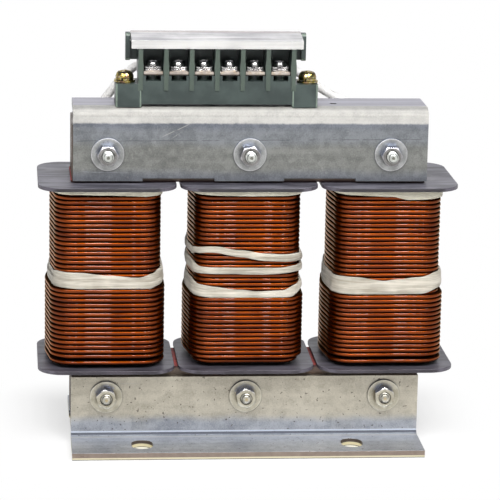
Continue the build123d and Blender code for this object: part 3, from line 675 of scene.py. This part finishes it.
def makeWinding(side):
    dice = random.Random(winding["seed"] + len(side))
    shape = Shape()
    x0 = coilPlace[side] + winding["shift"][side]
    radius, pitch = winding["wire"] / 2, winding["pitch"]
    first, last = winding["bottom"] + radius, winding["top"] - radius
    count = int((winding["top"] - winding["bottom"]) / pitch)
    full = [first + (last - first) * i / (count - 1) for i in range(count)]
    lowest, second = winding["lowTurns"][side]
    top = winding["outerTop"][side]
    turns = round((top - second) / pitch)
    short = [lowest] + [second + (top - second) * i / turns for i in range(turns + 1)]
    *hidden, third, outer = winding["layers"]
    for half in hidden:
        windLayer(shape, coilPlace[side], full, half, [(0, 0.0)], "coarse", dice)
    for half, heights in ((third, full), (outer, short)):
        windLayer(shape, x0, heights, half, winding["lean"][side], "fine", dice, winding["swell"][side])
    shape.piece("turns_" + side, copperEnamel, "enamelled_copper", "winding_" + side, sharp=60.0)


for side in coilPlace:
    makeWinding(side)
print("windings wound")


def softened(name, node, edge, finish, body="reactor"):
    # The CAD solid's own shape as a clean mesh, with its edges rounded off
    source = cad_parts[node].data
    shape = bmesh.new()
    corners = [shape.verts.new(v.co) for v in source.vertices]
    for polygon in source.polygons:
        shape.faces.new([corners[i] for i in polygon.vertices])
    bmesh.ops.remove_doubles(shape, verts=shape.verts, dist=0.002 * mm)
    bmesh.ops.dissolve_limit(shape, angle_limit=math.radians(0.6), verts=shape.verts, edges=shape.edges)
    bmesh.ops.recalc_face_normals(shape, faces=shape.faces)
    mesh = bpy.data.meshes.new(name)
    shape.to_mesh(mesh)
    shape.free()
    bevel = settle(mesh, name, finish, body, node, 30.0).modifiers.new("edges", "BEVEL")
    bevel.width = edge * mm
    bevel.segments = 2
    bevel.limit_method = "ANGLE"
    bevel.angle_limit = math.radians(32)
    bevel.harden_normals = True


for row, finish in (("upper", upperSheet), ("lower", lowerSheet)):
    for end in ("front", "rear"):
        softened(f"sheet_{row}_{end}", f"clamp_{row}_{end}", 0.3, finish)
for side in coilPlace:
    for end in ("front", "rear"):
        softened(f"former_{side}_{end}", f"bobbin_{side}_{end}", 0.3, formerPlastic)
for row in studHeight:
    softened("gap_" + row, "gap_sheet_" + row, 0.1, gapPaper)
softened("moulded_block", "terminal_block", 0.3, blockPlastic)
softened("bars", "terminal_bars", 0.2, barPlate)
softened("clear_lid", "terminal_cover", 0.2, clearPlastic, "cover")
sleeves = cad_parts["stud_sleeves"].data.materials
sleeves.clear()
sleeves.append(sleevePaper)
print("sheets and mouldings ready")


core = {
    "sheet": 0.5, "varnish": 0.02, "depth": 38.0, "shift": 0.07, "seed": 5, "holeRadius": 4.4,
    "holeSides": 16, "end": 95.0, "margin": 5.0,
    "yokes": {"lower": (11.0, 41.0), "upper": (145.2, 175.2)}, "legs": (19.0, 41.8, 144.4),
}


def plateWithHoles(left, right, bottom, top, holes):
    # One sheet as a filled mesh in X and Z: points, faces and the length of each edge loop
    flat = bmesh.new()
    loops = [[(left, bottom), (right, bottom), (right, top), (left, top)]]
    radius, angles = core["holeRadius"], around(core["holeSides"])
    loops += [[(x + radius * math.cos(a), z + radius * math.sin(a)) for a in angles] for x, z in holes]
    edges = []
    for loop in loops:
        points = [flat.verts.new((x, 0, z)) for x, z in loop]
        edges += [flat.edges.new((points[i - 1], points[i])) for i in range(len(points))]
    bmesh.ops.triangle_fill(flat, use_beauty=True, edges=edges)
    flat.verts.index_update()
    points = [(v.co.x, v.co.z) for v in flat.verts]
    faces = [[v.index for v in face.verts] for face in flat.faces]
    flat.free()
    return points, faces, [len(loop) for loop in loops]


def stack(name, plate, node):
    # Sheets side by side, each shifted a little at its ends and its top
    points, faces, loops = plate
    dice = random.Random(core["seed"])
    shape = Shape()
    bottom, end, n = points[0][1], core["end"], len(points)
    walls, start = [], 0
    for length in loops:
        for k in range(length):
            a, b = start + k, start + (k + 1) % length
            walls.append([a, b, b + n, a + n])
        start += length
    backs = [[k + n for k in face][::-1] for face in faces]
    for i in range(round(core["depth"] / core["sheet"])):
        front = -core["depth"] / 2 + i * core["sheet"]
        dx, dz = (dice.uniform(-1, 0) * core["shift"] for _ in range(2))
        outline = []
        for x, z in points:
            atEnd = abs(x) > end - core["margin"]
            outline.append((x * (1 + dx / end) if atEnd else x, z + dz * (z > bottom + 1)))
        planes = (front + core["varnish"], front + core["sheet"] - core["varnish"])
        shape.add([(x, y, z) for y in planes for x, z in outline], faces + backs + walls)
    shape.piece(name, laminationSteel, "laminations", node, sharp=30.0)


for row, (bottom, top) in core["yokes"].items():
    holes = [(x, studHeight[row]) for x in coilPlace.values()]
    stack("yoke_sheets_" + row, plateWithHoles(-core["end"], core["end"], bottom, top, holes), row + "_yoke")
halfLeg, bottom, top = core["legs"]
for side, x0 in coilPlace.items():
    stack("leg_sheets_" + side, plateWithHoles(x0 - halfLeg, x0 + halfLeg, bottom, top, []), "leg_" + side)
print("core stacked")


hardware = {
    "studRadius": 3.0, "studEnds": {"lower": 31.0, "upper": 34.0}, "pitch": 1.0, "threadDepth": 0.55,
    "threadLength": 14.0, "sheetFace": 23.0, "washerRadius": 9.0, "washerBore": 3.1, "washerThick": 1.5,
    "nutWidth": 10.0, "nutHeight": 5.0, "nutBore": 3.05,
    "turns": {"front": (0.25, 0.14, 0.05, 0.52, 0.7, 0.53), "rear": (0.1, 0.62, 0.33, 0.9, 0.2, 0.75)},
}


def threadRidge(shape, centre, axis, start, length, radius, depth, pitch, sides=18):
    # Helical ridge sunk in the shank, fading out at both ends
    root = radius - depth - 0.1
    steps = int(length / pitch * sides)
    rows = []
    for k in range(steps + 1):
        crest = radius - depth * (1 - min(1.0, k / sides, (steps - k) / (0.6 * sides)))
        base = start + length * k / steps
        rows.append([polar(reach, 2 * math.pi * k / sides, base + share * pitch, centre, axis)
                     for reach, share in ((root, -0.42), (crest, -0.09), (crest, 0.09), (root, 0.42))])
    shape.rows(rows)


def makeStuds(row):
    end = hardware["studEnds"][row]
    radius, depth, run = hardware["studRadius"], hardware["threadDepth"], hardware["threadLength"]
    root = radius - depth
    half = [(0.01, 0.25), (0.5, 0.22), (0.9, 0.02), (1.4, 0), (root - 0.4, 0.12), (root, 0.6), (root, run),
            (root + 0.3, run + 0.3)]
    shape = Shape()
    for x in coilPlace.values():
        centre = (x, 0, studHeight[row])
        shape.turned(mirrored([(reach, inset - end) for reach, inset in half], 0), centre, "Y", 24)
        for start in (-end + 0.5, end - run):
            threadRidge(shape, centre, "Y", start, run - 0.5, radius - 0.03, depth, hardware["pitch"])
    shape.piece("threaded_studs_" + row, studZinc, "zinc_hardware", "studs_" + row, sharp=40.0)


def hexNut(shape, centre, axis, width, height, bore, turn):
    # Hexagon with both faces turned to a cone, so that each flat ends in an arc
    apothem, bevel = width / 2, 0.35
    face = apothem * 0.97
    columns = []
    for angle in around(72):
        edge = apothem / math.cos((angle - turn + math.pi / 6) % (math.pi / 3) - math.pi / 6)
        half = [(bore, bevel), (bore + bevel, 0), (face, 0), (edge, 0.58 * max(0.0, edge - face))]
        columns.append([polar(reach, angle, h, centre, axis) for reach, h in mirrored(half, height)])
    shape.rows(list(zip(*columns)), loop=True)


def plainWasher(shape, centre, axis, outer, inner, thick, rounding=0.25):
    half = [(inner, rounding / 2), (inner + rounding, 0), (outer - rounding, 0), (outer, rounding)]
    shape.turned(mirrored(half, thick), centre, axis, ring=True)


for row in studHeight:
    makeStuds(row)
face, thick, tall = hardware["sheetFace"], hardware["washerThick"], hardware["nutHeight"]
for end, washerAt, nutAt in (("front", -face - thick, -face - thick - tall), ("rear", face, face + thick)):
    washers, nuts = Shape(), Shape()
    for (x, z), turn in zip(studRow, hardware["turns"][end]):
        plainWasher(washers, (x, washerAt, z), "Y", hardware["washerRadius"], hardware["washerBore"], thick)
        hexNut(nuts, (x, nutAt, z), "Y", hardware["nutWidth"], tall, hardware["nutBore"], turn)
    washers.piece("flat_washers_" + end, washerZinc, "zinc_hardware", "washers_" + end)
    nuts.piece("hex_nuts_" + end, nutZinc, "zinc_hardware", "nuts_" + end)
print("studs, nuts and washers ready")


terminal = {
    "first": -51.85, "pitch": 13.6, "count": 6, "depth": -12.0, "barTop": 204.1, "seat": 206.3,
    "plate": 0.92, "plateWidth": 9.7, "plateHole": 2.2, "radius": 2.0, "shank": 12.0, "threadPitch": 0.7,
    "seed": 8,
    # Radius, height and share of it that the rim takes up; reach, half width and depth of the cross
    "head": (3.75, 3.1, 0.4), "cross": (2.7, 0.55, 1.9),
    # How far the ends of the two square washers stand up from the bar
    "bows": (0.3, 0.62),
}
blockScrew = {
    "places": ((-66.85, -12.0), (31.15, -12.0)), "turns": (0.4, 1.1), "foot": 197.6,
    # Outer radius, bore and thickness
    "flat": (5.65, 2.65, 1.2), "spring": (4.8, 2.7, 1.3), "split": 4.4,
    "head": (4.85, 3.6, 0.3), "cross": (3.0, 0.6, 2.0), "radius": 2.5, "threadPitch": 0.8, "end": 176.0,
    "nutFoot": 177.2, "nutWidth": 8.0, "nutHeight": 4.0, "nutBore": 2.55,
}
terminalRow = [terminal["first"] + terminal["pitch"] * i for i in range(terminal["count"])]


def spun(a, b, turn):
    # The point a, b turned about the origin
    return a * math.cos(turn) - b * math.sin(turn), a * math.sin(turn) + b * math.cos(turn)


def crossHead(head, cross):
    # A screw head with a cross recess cut into it, as points and faces about its seat
    radius, height, crown = head
    arm, width, depth = cross
    dome = ((0.97, crown), (0.88, (crown + 1) / 2), (0.72, 0.88), (0.5, 0.96), (0.25, 0.995))
    blank, cutter = Shape(), Shape()
    blank.turned([(0.0001, 0), (radius - 0.15, 0), (radius, 0.15), (radius, height * crown * 0.6),
                  *((radius * out, height * up) for out, up in dome), (0.0001, height)], (0, 0, 0))
    for turn in (0.0, math.pi / 2):
        rows = []
        for reach, half, level in ((arm * 0.45, width * 0.6, height - depth), (arm, width, height + 0.5)):
            corners = [(-reach, -half), (reach, -half), (reach, half), (-reach, half)]
            rows.append([(*spun(a, b, turn), level) for a, b in corners])
        cutter.rows(rows)
    whole, tool = (placed("head", meshFrom("head", part.points, part.faces, weld=0.001))
                   for part in (blank, cutter))
    cut = whole.modifiers.new("recess", "BOOLEAN")
    cut.object = tool
    cut.operation = "DIFFERENCE"
    cut.solver = "EXACT"
    cut.use_self = True
    made = evaluated(whole)
    bpy.data.objects.remove(tool)
    return [tuple(v.co) for v in made.vertices], [list(p.vertices) for p in made.polygons]


def screwInto(shape, head, centre, turn, radius, length, pitch):
    # A head from crossHead turned by an angle, with its threaded shank
    points, faces = head
    x, y, z = centre
    around = [(*spun(a, b, turn), h) for a, b, h in points]
    shape.add([(x + a, y + b, z + h) for a, b, h in around], faces)
    root = radius - 0.6 * pitch
    shape.turned([(root, 0.2), (root, 0.5 - length), (root - 0.5, -length)], centre, sides=20)
    threadRidge(shape, centre, "Z", 0.4 - length, length - 0.8, radius - 0.02, radius - root, pitch, 14)


def squarePlate(shape, centre, width, thick, hole, bow):
    # Square washer with a round hole, bowed across its width
    half = width / 2 - 0.01
    columns = []
    for angle in around(32):
        edge = min(half / max(abs(math.cos(angle)), abs(math.sin(angle))), half * 1.32)
        column = []
        for share, level in mirrored([(0, 0), (0.5, 0), (0.97, 0), (1, 0.12)], thick):
            reach = hole + share * (edge - hole)
            column.append(polar(reach, angle, level + bow * (reach * math.cos(angle) / half) ** 2, centre))
        columns.append(column)
    shape.rows(list(zip(*columns)), loop=True)


def springWasher(shape, centre, outer, inner, thick, split):
    # One turn of square wire whose ends stand a little apart in height
    rows = []
    for i in range(41):
        angle, lift = split + math.radians(6 + 348 * i / 40), 0.16 * (i / 40 - 0.5)
        rows.append([polar(reach, angle, height + lift, centre)
                     for reach, height in mirrored([(inner, 0.1), (outer, 0.1)], thick)])
    shape.rows(rows)


def makeTerminals():
    dice = random.Random(terminal["seed"])
    head = crossHead(terminal["head"], terminal["cross"])
    lower, upper, screws = Shape(), Shape(), Shape()
    y, seat, plate = terminal["depth"], terminal["seat"], terminal["plate"]
    places = ((lower, terminal["barTop"]), (upper, seat - 0.2 - plate))
    for x in terminalRow:
        for (shape, z), bow in zip(places, terminal["bows"]):
            squarePlate(shape, (x, y, z), terminal["plateWidth"], plate, terminal["plateHole"], bow)
        screwInto(screws, head, (x, y, seat), dice.uniform(0, math.pi / 2), terminal["radius"],
                  terminal["shank"], terminal["threadPitch"])
    lower.piece("square_washers_lower", nickelPlate, "terminal_plating", "terminal_washers_lower")
    upper.piece("square_washers_upper", nickelPlate, "terminal_plating", "terminal_washers_upper")
    screws.piece("wire_screws", nickelPlate, "terminal_plating", "terminal_screws", sharp=40.0)


def makeBlockScrews():
    head = crossHead(blockScrew["head"], blockScrew["cross"])
    flat, spring, screws, nuts = Shape(), Shape(), Shape(), Shape()
    onFlat = blockScrew["foot"] + blockScrew["flat"][2]
    seat = onFlat + blockScrew["spring"][2]
    for (x, y), turn in zip(blockScrew["places"], blockScrew["turns"]):
        plainWasher(flat, (x, y, blockScrew["foot"]), "Z", *blockScrew["flat"], 0.2)
        springWasher(spring, (x, y, onFlat), *blockScrew["spring"], blockScrew["split"])
        screwInto(screws, head, (x, y, seat), turn, blockScrew["radius"], seat - blockScrew["end"],
                  blockScrew["threadPitch"])
        hexNut(nuts, (x, y, blockScrew["nutFoot"]), "Z", blockScrew["nutWidth"], blockScrew["nutHeight"],
               blockScrew["nutBore"], turn)
    flat.piece("foot_washers", yellowZinc, "yellow_zinc", "block_washers_flat")
    spring.piece("foot_spring_washers", yellowZinc, "yellow_zinc", "block_washers_spring")
    screws.piece("foot_screws", yellowZinc, "yellow_zinc", "block_screws", sharp=40.0)
    nuts.piece("foot_nuts", yellowZinc, "yellow_zinc", "block_nuts")


makeTerminals()
makeBlockScrews()
print("terminals ready")


tape = {
    "inner": 29.3, "corner": 10.75, "stations": 168, "seed": 21,
    "pulled": {"left": 0.6, "middle": 0.2, "right": 0.2},
    # Fold and fine crease: how often they change along the tape and across it, and how far they stand out
    "fold": (0.04, 3.2, 0.16), "crease": (0.18, 2.0, 0.06),
    # The top tapes' edges as (angle from the front, height)
    "topEdges": {
        "left": ([(-44, 142.0), (0, 142.0), (44, 141.9)], [(-44, 139.6), (0, 139.2), (44, 138.5)]),
        "middle": ([(-44, 142.0), (44, 142.0)], [(-44, 139.3), (0, 138.8), (44, 139.0)]),
        "right": ([(-44, 142.0), (44, 141.8)], [(-44, 139.5), (0, 138.5), (20, 136.8), (44, 137.2)]),
    },
}


def bandEdge(table, angle):
    # Edge height at an angle round the coil, 0 in front; the sides and rear stay level with the ends
    low, high = table[0], table[-1]
    if low[0] <= angle <= high[0]:
        return followTable(table, angle)
    share = (angle - high[0]) % 360 / (360 - high[0] + low[0])
    return high[1] + (low[1] - high[1]) * smoothed(share)


def roundedSquare(half, corner, stations):
    # Even stations round a rounded square: place and outward direction
    flat = half - corner
    straight, quarter = 2 * flat, math.pi * corner / 2
    made = []
    for i in range(stations):
        side, s = divmod((straight + quarter) * 4 * i / stations, straight + quarter)
        if s <= straight:
            x, y, nx, ny = s - flat, -half, 0.0, -1.0
        else:
            angle = -math.pi / 2 + (s - straight) / corner
            nx, ny = math.cos(angle), math.sin(angle)
            x, y = flat + corner * nx, -flat + corner * ny
        made.append((*spun(x, y, side * math.pi / 2), *spun(nx, ny, side * math.pi / 2)))
    return made


def layTape(shape, side, top, bottom, start, thick, seed, across=9, pulled=0.0):
    # One strand of tape round a coil, start millimetres off the wires and thick in its middle;
    # pulled is the share of that which it loses on the left side, where it is drawn tight
    rows = []
    (often, over, fold), (oftener, overFine, crease) = tape["fold"], tape["crease"]
    for x, y, nx, ny in roundedSquare(tape["inner"] + start, tape["corner"] + start, tape["stations"]):
        angle = math.degrees(math.atan2(x, -y))
        px = coilPlace[side] + winding["shift"][side] + swollen(x, y, *winding["swell"][side])
        fray = 0.1 * noise.noise(Vector((x * 0.2, y * 0.2, seed)))
        high, low = bandEdge(top, angle) + fray, bandEdge(bottom, angle) - fray
        loose = thick * (1 - pulled * smoothed(-nx * 1.4))
        row = [(px, y, low + 0.25)]
        for share in (j / (across - 1) for j in range(across)):
            out = 0.62 + 0.34 * math.sin(math.pi * share) ** 0.5
            out += fold * noise.noise(Vector((x * often, y * often, seed + share * over)))
            out += crease * noise.noise(Vector((x * oftener, y * oftener, seed + 40 + share * overFine)))
            row.append((px + nx * loose * out, y + ny * loose * out, low + (high - low) * share))
        rows.append(row + [(px, y, high - 0.25)])
    shape.rows(rows, loop=True)


def degreesAt(points, flat=18.6, corner=11.9):
    # Edge points given as (x from the coil's middle, height) on the front, as angles round the coil
    made = []
    for x, z in points:
        bend = max(0.0, abs(x) - flat)
        made.append((math.degrees(math.atan2(x, flat + math.sqrt(corner ** 2 - bend ** 2))), z))
    return made


waist = {
    # Each strand: distance off the wires, thickness, top edge and bottom edge
    "left": [
        (0.0, 1.5,
         [(-30.4, 96.4), (-28, 97.3), (-20, 97.2), (0, 95.5), (17.4, 94.3), (25.4, 96.3), (28.5, 98.2),
          (30.4, 98.4)],
         [(-30.4, 88.8), (-24.2, 88.6), (-14.6, 88.1), (22.8, 88), (27, 89.2), (30.4, 90.6)]),
        (0.9, 0.85,
         [(-30.4, 93.6), (-20, 93.2), (0, 91.9), (12, 91.2), (20, 91.6), (30.4, 94.2)],
         [(-30.4, 88.9), (-24.2, 88.7), (-14.6, 88.2), (22.8, 88.1), (27, 89.3), (30.4, 90.8)]),
    ],
    "middle": [
        (0.0, 1.7,
         [(-30.4, 108.8), (-29.2, 110.1), (-20.1, 111.5), (-5, 109.4), (11.2, 107.4), (22, 107),
          (26.8, 107), (30.4, 106)],
         [(-30.4, 105.4), (-28, 106.9), (-21.1, 108), (-4.9, 105.5), (11.3, 103.3), (22.1, 102.9),
          (27, 102.7), (30.4, 101.9)]),
        (0.0, 1.7,
         [(-30.4, 101.9), (-26.5, 99.9), (0.4, 99.7), (16.6, 99.6), (26.2, 100.4), (30.4, 100.4)],
         [(-30.4, 96.4), (-29.1, 96), (-21.1, 96.3), (11.3, 95.8), (26.9, 96.9), (30.4, 96.6)]),
        (0.0, 1.6,
         [(-30.4, 91.4), (-26.4, 89.9), (-4.8, 87.5), (6, 86.6), (19.6, 87.1), (27.1, 89.5), (30.4, 91)],
         [(-30.4, 83.6), (-26.3, 82.5), (-4.7, 82.5), (22.4, 82.6), (28.2, 86.2), (30.4, 87)]),
        (0.9, 0.8,
         [(-30.4, 88.4), (-20, 87), (-5, 86), (20, 85.6), (30.4, 89.2)],
         [(-30.4, 84), (-18, 83.2), (-5, 82.8), (22, 82.8), (30.4, 87.2)]),
    ],
    "right": [
        (0.0, 1.5,
         [(-30.4, 94.2), (-21.4, 94.4), (-2.3, 92.2), (5.9, 93), (16.7, 94.1), (27.5, 96.4), (30.4, 96.8)],
         [(-30.4, 84.8), (-23.8, 84.8), (-12.9, 84.6), (17, 84.8), (27.8, 87.2), (30.4, 87.9)]),
        (0.9, 0.85,
         [(-30.4, 90.6), (-21.4, 89.6), (-2.3, 88.4), (10, 88.2), (17, 88.6), (30.4, 92.4)],
         [(-30.4, 84.9), (-23.8, 84.9), (-12.9, 84.7), (17, 84.9), (27.8, 87.4), (30.4, 88.2)]),
    ],
}

strand = 0
for side, x0 in coilPlace.items():
    seed = tape["seed"] + x0 + winding["shift"][side]
    upperBand, waistBand = Shape(), Shape()
    layTape(upperBand, side, *tape["topEdges"][side], 0.0, 0.9, seed, across=7)
    upperBand.piece("lacing_top_" + side, lacingFabric, "lacing_tape", "tape_top_" + side, sharp=60.0)
    for start, thick, top, bottom in waist[side]:
        strand += 1
        layTape(waistBand, side, degreesAt(top), degreesAt(bottom), start, thick, strand,
                pulled=tape["pulled"][side])
    waistBand.piece("lacing_waist_" + side, lacingFabric, "lacing_tape", "tape_waist_" + side, sharp=60.0)
print("tapes laid")


leads = {
    "radius": 2.4, "sides": 24, "step": 0.4, "strands": 6, "lay": 7.0, "relief": 0.13, "start": (13.0, 26.0),
    "middles": [
        [(-88.4, 28.0, 162.0), (-76.0, 29.5, 181.0), (-61.0, 22.0, 201.0)],
        [(-62.6, 28.0, 161.0), (-54.5, 29.5, 181.0), (-43.0, 21.5, 200.5)],
        [(-13.4, 28.0, 161.0), (-17.0, 29.5, 182.0), (-22.5, 21.5, 201.0)],
        [(13.3, 28.0, 163.0), (5.5, 29.5, 182.0), (-6.0, 21.5, 200.5)],
        [(62.4, 28.0, 161.0), (47.0, 29.5, 175.0), (15.0, 22.5, 198.0)],
        [(89.4, 28.0, 163.0), (78.0, 29.5, 174.5), (52.0, 29.0, 180.5), (27.0, 20.5, 200.0)],
    ],
    "barMiddle": 203.05, "tabEnd": 6.0,
}


def smoothRoute(points):
    # Points along a NURBS spline with the route's points as its control points
    curve = bpy.data.curves.new("route", "CURVE")
    curve.dimensions = "3D"
    curve.resolution_u = 24
    spline = curve.splines.new("NURBS")
    spline.points.add(len(points) - 1)
    for point, place in zip(spline.points, points):
        point.co = (*place, 1.0)
    spline.order_u = 3
    spline.use_endpoint_u = True
    return [v.co.copy() for v in evaluated(placed("route", curve)).vertices]


def evenly(places, step):
    # The same line with stations every step millimetres
    made = [places[0]]
    left = step
    for a, b in zip(places, places[1:]):
        span = (b - a).length
        while left <= span:
            made.append(a.lerp(b, left / span))
            left += step
        left -= span
    return made


def frames(places):
    # Two directions across the line at each station, carried along it without twisting
    across = Vector((1, 0, 0))
    made = []
    for i in range(len(places)):
        ahead = (places[min(i + 1, len(places) - 1)] - places[max(i - 1, 0)]).normalized()
        across = (across - ahead * across.dot(ahead)).normalized()
        made.append((across, ahead.cross(across)))
    return made


def makeLead(number, x, middles, endX):
    y, top = leads["start"][1], winding["top"]
    bar, tab, relief = leads["barMiddle"], leads["tabEnd"], leads["relief"]
    route = [(x, y, top), (x, y, top + 9), *middles, (endX, tab + 8, bar), (endX, tab, bar)]
    line = evenly(smoothRoute(route), leads["step"])
    rows = []
    for i, (place, (u, v)) in enumerate(zip(line, frames(line))):
        lay = 3 * i * leads["step"] * 2 * math.pi / leads["lay"]
        mouth = 0.175 * max(0.0, 1 - (len(line) - 1 - i) / 4)  # the cut end frays open
        row = []
        for angle in around(leads["sides"]):
            strand = leads["strands"] * angle
            over = max(math.sin(strand + lay), math.sin(strand - lay))
            reach = leads["radius"] - relief + relief * over + mouth
            row.append(place + u * (reach * math.cos(angle)) + v * (reach * math.sin(angle)))
        rows.append(row)
    shape = Shape()
    shape.rows(rows)
    shape.piece(f"sleeve_lead_{number}", sleeveBraid, "lead_sleeving", f"lead_{number}", sharp=70.0)


leadStarts = [x + side * leads["start"][0] for x in coilPlace.values() for side in (-1, 1)]
for number, (x, middles, endX) in enumerate(zip(leadStarts, leads["middles"], terminalRow), 1):
    makeLead(number, x, middles, endX)
print("winding ends sleeved")


studio = {
    "floorTones": ((246, 246, 246), (250, 250, 250)), "warm": (240, 234, 204), "ambient": 0.08,
    # Where the sky dims in reflections, its colour and its strength
    "overhead": (0.16, 0.5, (0.5, 0.56, 0.78, 1.0), 0.28),
    # Half length and half depth of the feet's outline, the same for the painted warm glow under them, the
    # depths between which the light from between the feet fades, and how far from the feet the glow is whole
    "outline": (95.0, 55.0), "under": (94.5, 54.5), "dim": (20.0, 28.0),
    "glow": (-2.0, 50.0),
    # Place, size and power of each lamp
    "lamps": {"leftBox": ((-0.446, -0.716, 0.978), (0.7, 0.7), 2.7),
              "rear": ((0.3, 2.0, 1.4), (1.8, 1.0), 7.0)},
    "aim": (0.0, 0.0, 0.11),
    # Strips in front and above, each with its offset along X, width and power; the last stands to the right
    "strips": {"reach": 1.2, "rise": 47.0, "length": 0.55, "aim": (0.0, -0.03, 0.1),
               "front": [(-0.24, 0.03, 2.2), (-0.08, 0.03, 2.2), (0.08, 0.03, 2.2), (0.24, 0.03, 2.2),
                         (0.36, 0.05, 4.6)],
               # The ones for the corners, each with its bearing from the front, width and power
               "corners": [(48.0, 0.035, 3.4), (-29.0, 0.03, 1.8), (-44.0, 0.03, 1.8)]},
    # Roll, then pitch up from straight down, then yaw
    "camera": {"place": (-0.12868, -1.4077, 0.43657), "lens": 190.84, "roll": 1.119, "pitch": 76.697,
               "yaw": -5.352},
}
white = (1, 1, 1, 1)


def lamp(name, place, size, power, aim):
    light = bpy.data.lights.new(name, "AREA")
    light.shape = "RECTANGLE"
    light.size, light.size_y = size
    light.energy = power
    carrier = placed(name, light)
    carrier.location = place
    carrier.rotation_euler = (Vector(aim) - Vector(place)).to_track_quat("-Z", "Y").to_euler()


def lookRays(tree):
    # 1 for rays from the camera, in reflections and through clear plastic
    camera, glossy, through = (tree.node("LightPath", output=f"Is {ray} Ray")
                               for ray in ("Camera", "Glossy", "Transmission"))
    return tree.node("Math", [camera + glossy, through], operation="ADD", use_clamp=True)


def makeLamps():
    for name, (place, size, power) in studio["lamps"].items():
        lamp(name, place, size, power, studio["aim"])
    strips = studio["strips"]
    rise = math.radians(strips["rise"])
    away, height = strips["reach"] * math.cos(rise), strips["reach"] * math.sin(rise)
    centre = Vector(strips["aim"])
    for x, width, power in strips["front"]:
        aside = Vector((x, 0, 0))
        lamp("strip", centre + Vector((x, -away, height)), (width, strips["length"]), power, centre + aside)
    for bearing, width, power in strips["corners"]:
        turn = math.radians(bearing)
        offset = Vector((away * math.sin(turn), -away * math.cos(turn), height))
        lamp("strip", centre + offset, (width, strips["length"]), power, centre)


def makeWorld():
    world = bpy.data.worlds.new("studio")
    world.use_nodes = True
    tree = Tree(world.node_tree)
    seen = lookRays(tree)
    height = tree.node("SeparateXYZ", [tree.node("TexCoord", output="Generated")], "Z")
    low, high, colour, strength = studio["overhead"]
    overhead = tree.between(height, low, high) * tree.node("LightPath", output="Is Glossy Ray")
    soft, bright, dim = (tree.node("Background", {"Color": shade, "Strength": power})
                         for shade, power in ((white, studio["ambient"]), (white, 1.0), (colour, strength)))
    mixed = tree.node("MixShader", [seen, soft, tree.node("MixShader", [overhead, bright, dim])])
    tree.feed(world.node_tree.nodes["World Output"].inputs["Surface"], mixed)
    bpy.context.scene.world = world


def makeFloor(reach=4.0):
    # Glows white to the camera and in reflections; less so under the feet, where its own shading shows and
    # its glow is a painted warm light
    mesh = bpy.data.meshes.new("floor")
    corners = [(-reach, -reach, 0), (reach, -reach, 0), (reach, reach, 0), (-reach, reach, 0)]
    mesh.from_pydata(corners, [], [[0, 1, 2, 3]])
    f = Finish("floor_paper", {"Roughness": 0.9, "Specular IOR Level": 0.1})
    f.feed(f.shader.inputs["Base Color"], f.blend(f.grain(3.0), *studio["floorTones"]))
    own = Sock(f, f.shader.outputs["BSDF"])
    glow, warm = (f.node("Emission", {"Color": shade}) for shade in (white, tone(*studio["warm"])))
    across, deep = (abs(f.along(axis)) for axis in "XY")
    length, depth = studio["under"]
    under = (across < length) * (deep < depth)
    beside, before = (f.maths("MAXIMUM", at - edge, 0.0)
                      for at, edge in zip((across, deep), studio["outline"]))
    shade = 0.4 * (across < length) * (1 - f.between(deep, *studio["dim"]))  # between the feet
    share = 0.62 + 0.38 * f.between(f.length(beside, before), *studio["glow"]) - shade
    shown = f.node("MixShader", [lookRays(f) * share, own, f.node("MixShader", [under, glow, warm])])
    f.feed(f.tree.nodes["Material Output"].inputs["Surface"], shown)
    mesh.materials.append(f.material)
    placed("floor", mesh)


def makeCamera():
    look = studio["camera"]
    roll, pitch, yaw = (Matrix.Rotation(math.radians(look[turn]), 4, axis)
                        for turn, axis in (("roll", "Z"), ("pitch", "X"), ("yaw", "Z")))
    camera = placed("camera", bpy.data.cameras.new("camera"))
    camera.data.lens = look["lens"]
    camera.matrix_world = Matrix.Translation(look["place"]) @ yaw @ pitch @ roll
    bpy.context.scene.camera = camera


makeLamps()
makeWorld()
makeFloor()
makeCamera()
bpy.context.scene.view_settings.view_transform = "Standard"
print("studio lit")
